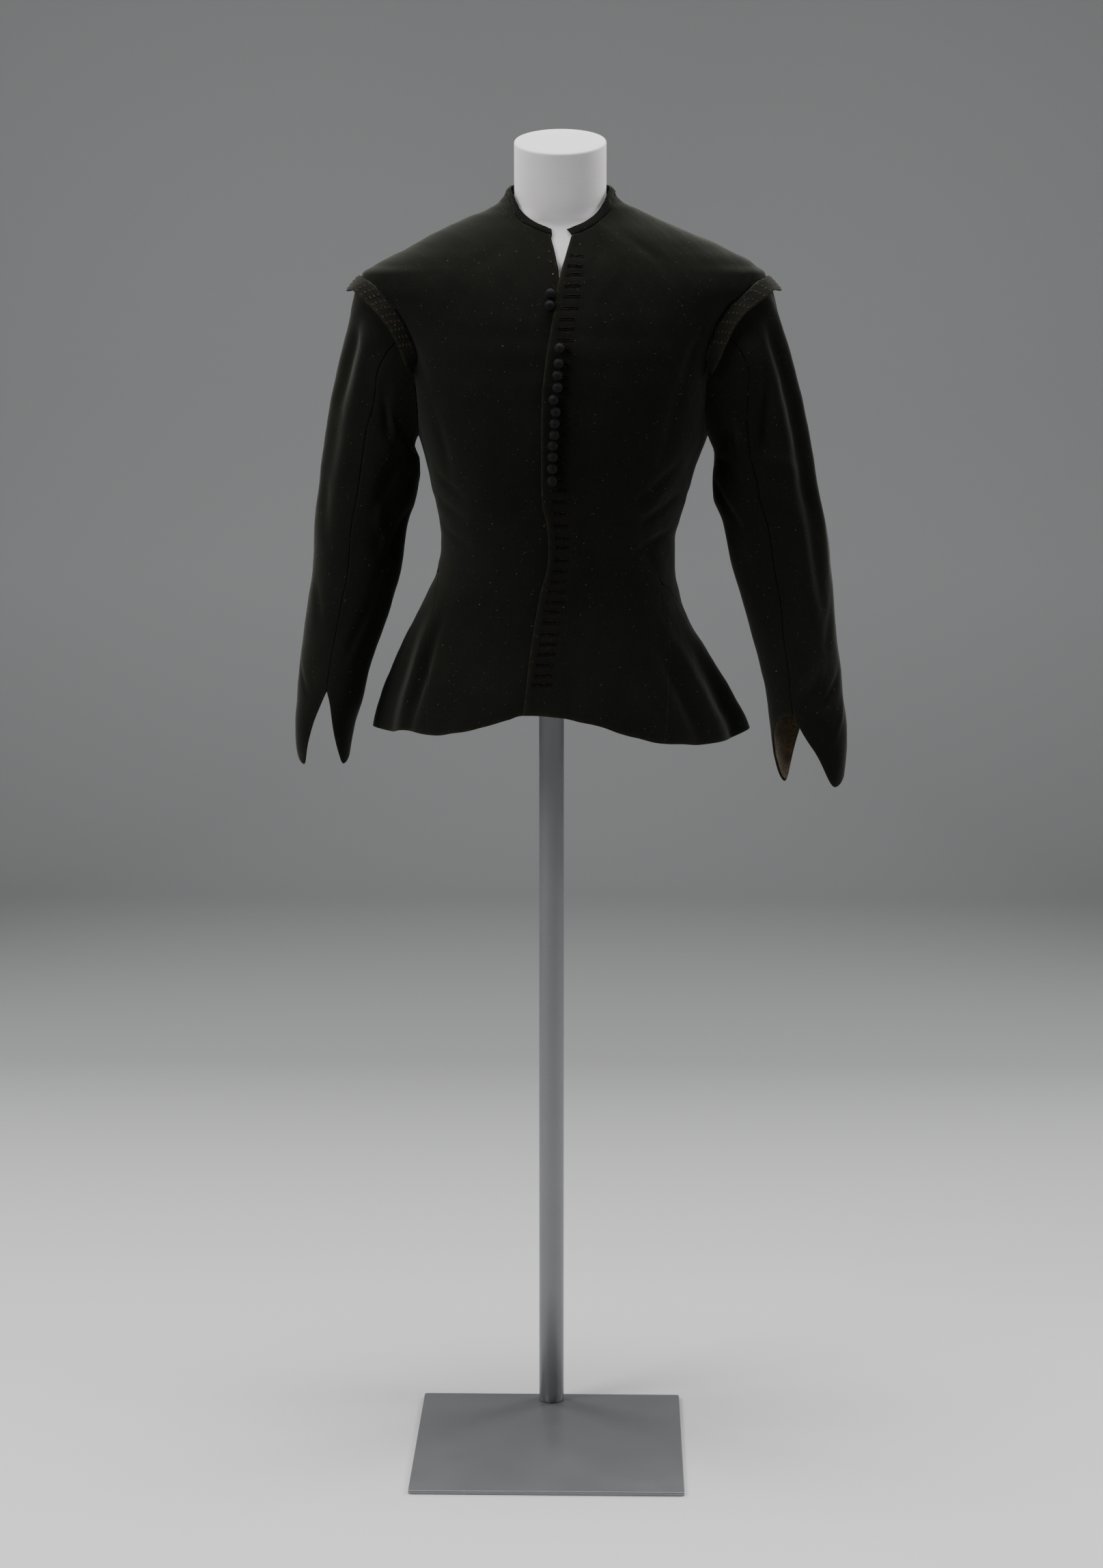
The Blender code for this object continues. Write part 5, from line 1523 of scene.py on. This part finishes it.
def make_plate(material):
    """The thin square foot, with rounded corners and broken edges."""
    low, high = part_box("base_plate")
    middle, half = (low.y + high.y) / 2, (high.x - low.x) / 2
    corner = np.radians(np.linspace(0, 90, 9))
    outline = []
    for quarter in range(4):
        turn = quarter * math.pi / 2
        for angle in corner + turn:
            centre = np.array([math.cos(turn + math.pi / 4), math.sin(turn + math.pi / 4)])
            centre = np.sign(centre) * (half - PLATE_CORNER)
            outline.append((centre, np.array([math.cos(angle), math.sin(angle)])))
    rings = []
    for inward, height in PLATE_PROFILE:
        ring = [centre + way * (PLATE_CORNER - inward) for centre, way in outline]
        rings.append(np.array([(x, y + middle, low.z + height) for x, y in ring]))
    item = mesh_object("base_plate_painted", np.concatenate(rings), ring_faces(len(rings), len(outline)),
                       material, sharp=math.radians(50))
    return dress(item, "stand_paint", "base_plate")


class Look:
    """A material being put together from nodes."""

    def __init__(self, name):
        self.material = bpy.data.materials.new(name)
        self.material.use_nodes = True
        self.nodes = self.material.node_tree.nodes
        self.links = self.material.node_tree.links
        self.shader = self.nodes["Principled BSDF"]
        self.place = self.nodes.new("ShaderNodeTexCoord").outputs["Object"]

    def link(self, source, target):
        """Connect a source to a socket, or set the socket to a plain value."""
        if isinstance(source, bpy.types.NodeSocket):
            self.links.new(source, target)
        else:
            target.default_value = source

    def noise(self, scale, detail=2.0, roughness=0.5, stretch=None):
        """Noise over the row frame, with the scale in waves a metre."""
        node = self.nodes.new("ShaderNodeTexNoise")
        place = self.place
        if stretch:
            mapping = self.nodes.new("ShaderNodeMapping")
            mapping.inputs["Scale"].default_value = stretch
            self.links.new(self.place, mapping.inputs["Vector"])
            place = mapping.outputs["Vector"]
        self.links.new(place, node.inputs["Vector"])
        node.inputs["Scale"].default_value = scale
        node.inputs["Detail"].default_value = detail
        node.inputs["Roughness"].default_value = roughness
        return node.outputs["Fac"]

    def ramp(self, value, low, high, first=0.0, last=1.0):
        """A value led from one range to another and kept within it."""
        node = self.nodes.new("ShaderNodeMapRange")
        node.clamp = True
        self.link(value, node.inputs["Value"])
        for socket, number in zip(("From Min", "From Max", "To Min", "To Max"), (low, high, first, last)):
            node.inputs[socket].default_value = number
        return node.outputs["Result"]

    def maths(self, operation, first, second=0.0):
        """One sum on values."""
        node = self.nodes.new("ShaderNodeMath")
        node.operation = operation
        self.link(first, node.inputs[0])
        self.link(second, node.inputs[1])
        return node.outputs["Value"]

    def mix(self, share, first, second, blend="MIX"):
        """Two colours mixed by a share."""
        node = self.nodes.new("ShaderNodeMix")
        node.data_type, node.blend_type = "RGBA", blend
        self.link(share, node.inputs["Factor"])
        self.link(first, node.inputs[6])
        self.link(second, node.inputs[7])
        return node.outputs[2]

    def attribute(self, name):
        """A number kept on the mesh."""
        node = self.nodes.new("ShaderNodeAttribute")
        node.attribute_name = name
        return node.outputs["Fac"]

    def facing(self):
        """How far the surface turns away from the eye, for a painted sheen that makes the wool's colour
        paler towards its edges.
        """
        node = self.nodes.new("ShaderNodeLayerWeight")
        node.inputs["Blend"].default_value = 0.5
        return node.outputs["Facing"]

    def bump(self, height, strength, distance, below=None):
        """Relief from a height, over an earlier relief."""
        node = self.nodes.new("ShaderNodeBump")
        node.inputs["Strength"].default_value = strength
        node.inputs["Distance"].default_value = distance
        self.link(height, node.inputs["Height"])
        if below:
            self.links.new(below, node.inputs["Normal"])
        return node.outputs["Normal"]

    def finish(self, colour, roughness, normal=None, **constants):
        """Join the parts to the shader, with plain numbers on its own sockets."""
        self.link(colour, self.shader.inputs["Base Color"])
        self.link(roughness, self.shader.inputs["Roughness"])
        if normal:
            self.links.new(normal, self.shader.inputs["Normal"])
        for name, value in constants.items():
            self.shader.inputs[name.replace("_", " ")].default_value = value
        return self.material


def wool_look():
    """Fulled dark green-black wool with a short nap, lint, worn edges and a painted sheen that makes the
    colour paler where the surface turns from the eye.
    """
    look = Look("wool_nap")
    patches = look.ramp(look.noise(7.0, 3.0, 0.55), 0.35, 0.68)
    colour = look.mix(patches, WOOL_DARK, WOOL_LIGHT)
    streaks = look.ramp(look.noise(1.0, 2.0, 0.6, (60.0, 60.0, 14.0)), 0.40, 0.70, 0.0, 0.35)
    colour = look.mix(streaks, colour, WOOL_BLUE)
    speckle = look.ramp(look.noise(1500.0, 2.0, 0.7), 0.30, 0.70, 0.0, 1.0)
    colour = look.mix(look.maths("MULTIPLY", speckle, 0.55), colour, WOOL_FIBRE)
    lint = look.ramp(look.noise(430.0, 1.0, 0.5), 0.755, 0.79)
    colour = look.mix(lint, colour, WOOL_LINT)
    ragged = look.ramp(look.noise(210.0, 3.0, 0.6), 0.32, 0.62)
    wear = look.maths("MULTIPLY", look.attribute("wear"), ragged)
    colour = look.mix(look.maths("MULTIPLY", wear, WEAR_SHARE), colour, WOOL_WORN)
    # Painted sheen: the colour grows paler where the surface turns away from the eye
    painted_sheen = look.maths("POWER", look.facing(), PAINTED_SHEEN_POWER)
    colour = look.mix(painted_sheen, colour, WOOL_PAINTED_SHEEN)
    nap = look.bump(look.noise(260.0, 3.0, 0.6), 0.30, 0.0006)
    fibres = look.bump(look.noise(1300.0, 2.0, 0.7), 0.55, 0.0003, nap)
    return look.finish(colour, 0.95, fibres, Sheen_Weight=WOOL_SHEEN, Sheen_Roughness=WOOL_SHEEN_ROUGHNESS,
                       Sheen_Tint=WOOL_SHEEN_TINT, Specular_IOR_Level=0.02)


def thread_look(name, dark, light, worn, worn_from):
    """Twisted thread, with some of it worn paler."""
    look = Look(name)
    tone = look.ramp(look.noise(900.0, 2.0, 0.6), 0.35, 0.65)
    colour = look.mix(tone, dark, light)
    spots = look.ramp(look.noise(330.0, 2.0, 0.5), worn_from, worn_from + 0.05)
    colour = look.mix(spots, colour, worn)
    relief = look.bump(look.noise(2600.0, 2.0, 0.6), 0.5, 0.0002)
    return look.finish(colour, 0.62, relief, Specular_IOR_Level=0.06, Sheen_Weight=0.01)


def linen_look():
    """Coarse golden linen, plain woven and a little fluffy."""
    look = Look("coarse_linen")
    across = look.noise(1.0, 2.0, 0.6, (300.0, 300.0, 1500.0))
    along = look.noise(1.0, 2.0, 0.6, (1500.0, 1500.0, 260.0))
    weave = look.maths("ADD", across, along)
    colour = look.mix(look.ramp(weave, 0.85, 1.15), LINEN_DARK, LINEN_LIGHT)
    stain = look.ramp(look.noise(45.0, 3.0, 0.6), 0.42, 0.66, 0.0, 0.75)
    colour = look.mix(stain, colour, LINEN_STAIN)
    relief = look.bump(weave, 0.8, 0.0005)
    return look.finish(colour, 0.92, relief, Specular_IOR_Level=0.15, Sheen_Weight=0.15)


def cover_look():
    """Off-white knitted cover, with its fine upright ribs."""
    look = Look("jersey_cover")
    parts = look.nodes.new("ShaderNodeSeparateXYZ")
    look.links.new(look.place, parts.inputs["Vector"])
    angle = look.maths("ARCTAN2", look.maths("SUBTRACT", parts.outputs["X"], NECK_MIDDLE),
                       look.maths("SUBTRACT", parts.outputs["Y"], -0.007))
    turned = look.maths("ADD", look.maths("MULTIPLY", angle, COVER_RIBS),
                        look.maths("MULTIPLY", parts.outputs["Z"], COVER_SLANT))
    ribs = look.maths("SINE", turned)
    loops = look.maths("SINE", look.maths("MULTIPLY", parts.outputs["Z"], COVER_LOOPS))
    knit = look.maths("ADD", look.maths("MULTIPLY", ribs, 0.6), look.maths("MULTIPLY", loops, 0.4))
    fluff = look.noise(1400.0, 2.0, 0.6)
    tone = look.ramp(look.noise(14.0, 3.0, 0.5), 0.35, 0.70)
    colour = look.mix(tone, COVER_WHITE, COVER_ROSY)
    colour = look.mix(look.ramp(look.maths("ADD", knit, fluff), -0.4, 1.4, 0.22, 0.0), colour, COVER_SHADE)
    relief = look.bump(knit, 0.22, 0.0003)
    relief = look.bump(fluff, 0.35, 0.0003, relief)
    return look.finish(colour, 0.95, relief, Sheen_Weight=0.35, Sheen_Roughness=0.4,
                       Specular_IOR_Level=0.15)


def paint_look():
    """Satin grey metallic paint, with fine grain and faint handling marks."""
    look = Look("satin_paint")
    grain = look.noise(1800.0, 2.0, 0.6)
    colour = look.mix(look.ramp(grain, 0.3, 0.7), PAINT_DARK, PAINT_LIGHT)
    smears = look.noise(9.0, 4.0, 0.6)
    roughness = look.ramp(smears, 0.3, 0.7, 0.30, 0.42)
    relief = look.bump(grain, 0.06, 0.0001)
    return look.finish(colour, roughness, relief, Metallic=0.55, Specular_IOR_Level=0.5)


def stage_look():
    """Grey that darkens softly with distance and height and turns a little paler again high on the wall:
    painted shade in place of the light's falloff.
    """
    look = Look("studio_grey")
    parts = look.nodes.new("ShaderNodeSeparateXYZ")
    look.links.new(look.place, parts.inputs["Vector"])
    way = look.maths("ADD", parts.outputs["Z"], look.maths("MULTIPLY", parts.outputs["Y"], STAGE_DEPTH))
    near = look.mix(look.ramp(way, *STAGE_NEAR), STAGE_FLOOR, STAGE_MIDDLE)
    far = look.mix(look.ramp(way, *STAGE_FAR), near, STAGE_TOP)
    return look.finish(far, 0.9, Specular_IOR_Level=0.1)


def make_stage():
    """A floor that bends up into a wall behind."""
    profile = [(-FLOOR_SIZE / 2, 0.0), (WALL_BEHIND - WALL_BEND, 0.0)]
    for step in range(1, 25):
        turn = step / 24 * math.pi / 2
        profile.append((WALL_BEHIND - WALL_BEND + WALL_BEND * math.sin(turn),
                        WALL_BEND * (1 - math.cos(turn))))
    profile.append((WALL_BEHIND, WALL_HEIGHT))
    half = FLOOR_SIZE / 2
    points = np.array([(x, y, z) for y, z in profile for x in (-half, half)])
    faces = [[2 * i, 2 * i + 1, 2 * i + 3, 2 * i + 2] for i in range(len(profile) - 1)]
    mesh = bpy.data.meshes.new("studio")
    mesh.from_pydata(points.tolist(), [], faces)
    mesh.shade_smooth()
    mesh.materials.append(stage_look())
    item = bpy.data.objects.new("studio", mesh)
    bpy.context.scene.collection.objects.link(item)


def make_lights():
    """Large soft lights and an even grey world."""
    for name, x, y, z, width, height, watts, *aim in LIGHTS:
        light = bpy.data.lights.new(name, "AREA")
        light.shape, light.size, light.size_y = "RECTANGLE", width, height
        light.energy = watts
        item = bpy.data.objects.new(name, light)
        item.location = (x, y, z)
        item.rotation_euler = (Vector(aim) - Vector((x, y, z))).to_track_quat("-Z", "Y").to_euler()
        bpy.context.scene.collection.objects.link(item)
    world = bpy.data.worlds.new("studio_world")
    world.use_nodes = True
    background = world.node_tree.nodes["Background"]
    background.inputs["Color"].default_value = (WORLD_GREY, WORLD_GREY, WORLD_GREY, 1.0)
    background.inputs["Strength"].default_value = WORLD_STRENGTH
    bpy.context.scene.world = world


def make_camera():
    """The camera at the photograph's height, distance and angle."""
    camera = bpy.data.cameras.new("camera")
    camera.sensor_fit, camera.sensor_height = "VERTICAL", SENSOR * 1000
    centre_angle = math.atan((PICTURE_HEIGHT / 2 - HORIZON_ROW) / FOCAL_PIXELS)
    left_over = math.tan(centre_angle - CAMERA_PITCH)
    camera.lens = SENSOR * 1000 * FOCAL_PIXELS / PICTURE_HEIGHT
    camera.shift_y = -left_over * FOCAL_PIXELS / PICTURE_HEIGHT
    item = bpy.data.objects.new("camera", camera)
    item.location = (CAMERA_AWAY * math.sin(CAMERA_AZIMUTH), -CAMERA_AWAY * math.cos(CAMERA_AZIMUTH),
                     CAMERA_HEIGHT)
    item.rotation_euler = (math.pi / 2 - CAMERA_PITCH, 0, CAMERA_AZIMUTH)
    bpy.context.scene.collection.objects.link(item)
    bpy.context.scene.camera = item


def write_sizes():
    """Bring the view layer up to date."""
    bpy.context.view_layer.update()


def main():
    """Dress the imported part, then set up the studio."""
    wool = wool_look()
    for side in (-1, 1):
        make_front(side, wool)
        make_gore(side, wool)
        make_sleeve_piece(side, True, wool)
        make_sleeve_piece(side, False, wool)
        make_wing(side, wool)
    make_back(wool)
    make_neckband(wool)
    make_cuff_lining(linen_look())
    brown = thread_look("buttonhole_thread", THREAD_DARK, THREAD_BROWN, THREAD_RED, 0.60)
    black = thread_look("button_thread_worked", BUTTON_DARK, BUTTON_LIGHT, BUTTON_LIGHT, 0.9)
    tan = thread_look("seam_thread", THREAD_BROWN, THREAD_TAN, THREAD_RED, 0.70)
    orange = thread_look("remnant_thread", THREAD_ORANGE, THREAD_TAN, THREAD_PALE, 0.62)
    # Near-black material: painted shadow in the buttonhole slits, and also the neckband's stitches
    slit = thread_look("slit_painted_shadow_and_band_stitches", SLIT_DARK, THREAD_DARK, THREAD_RED, 0.66)
    make_buttonholes(brown, slit)
    for number in range(1, len(UNFASTENED) + len(FASTENED) + 1):
        make_button(number, black)
    make_gore_stitches(tan)
    make_sleeve_stitches(brown)
    make_band_stitches(slit)
    make_wing_slits(thread_look("wing_thread", SLIT_BROWN, SLIT_TAN, THREAD_RED, 0.62))
    make_remnants(orange)
    make_form(cover_look())
    paint = paint_look()
    make_pole(paint)
    make_plate(paint)
    make_stage()
    make_lights()
    make_camera()
    write_sizes()


main()
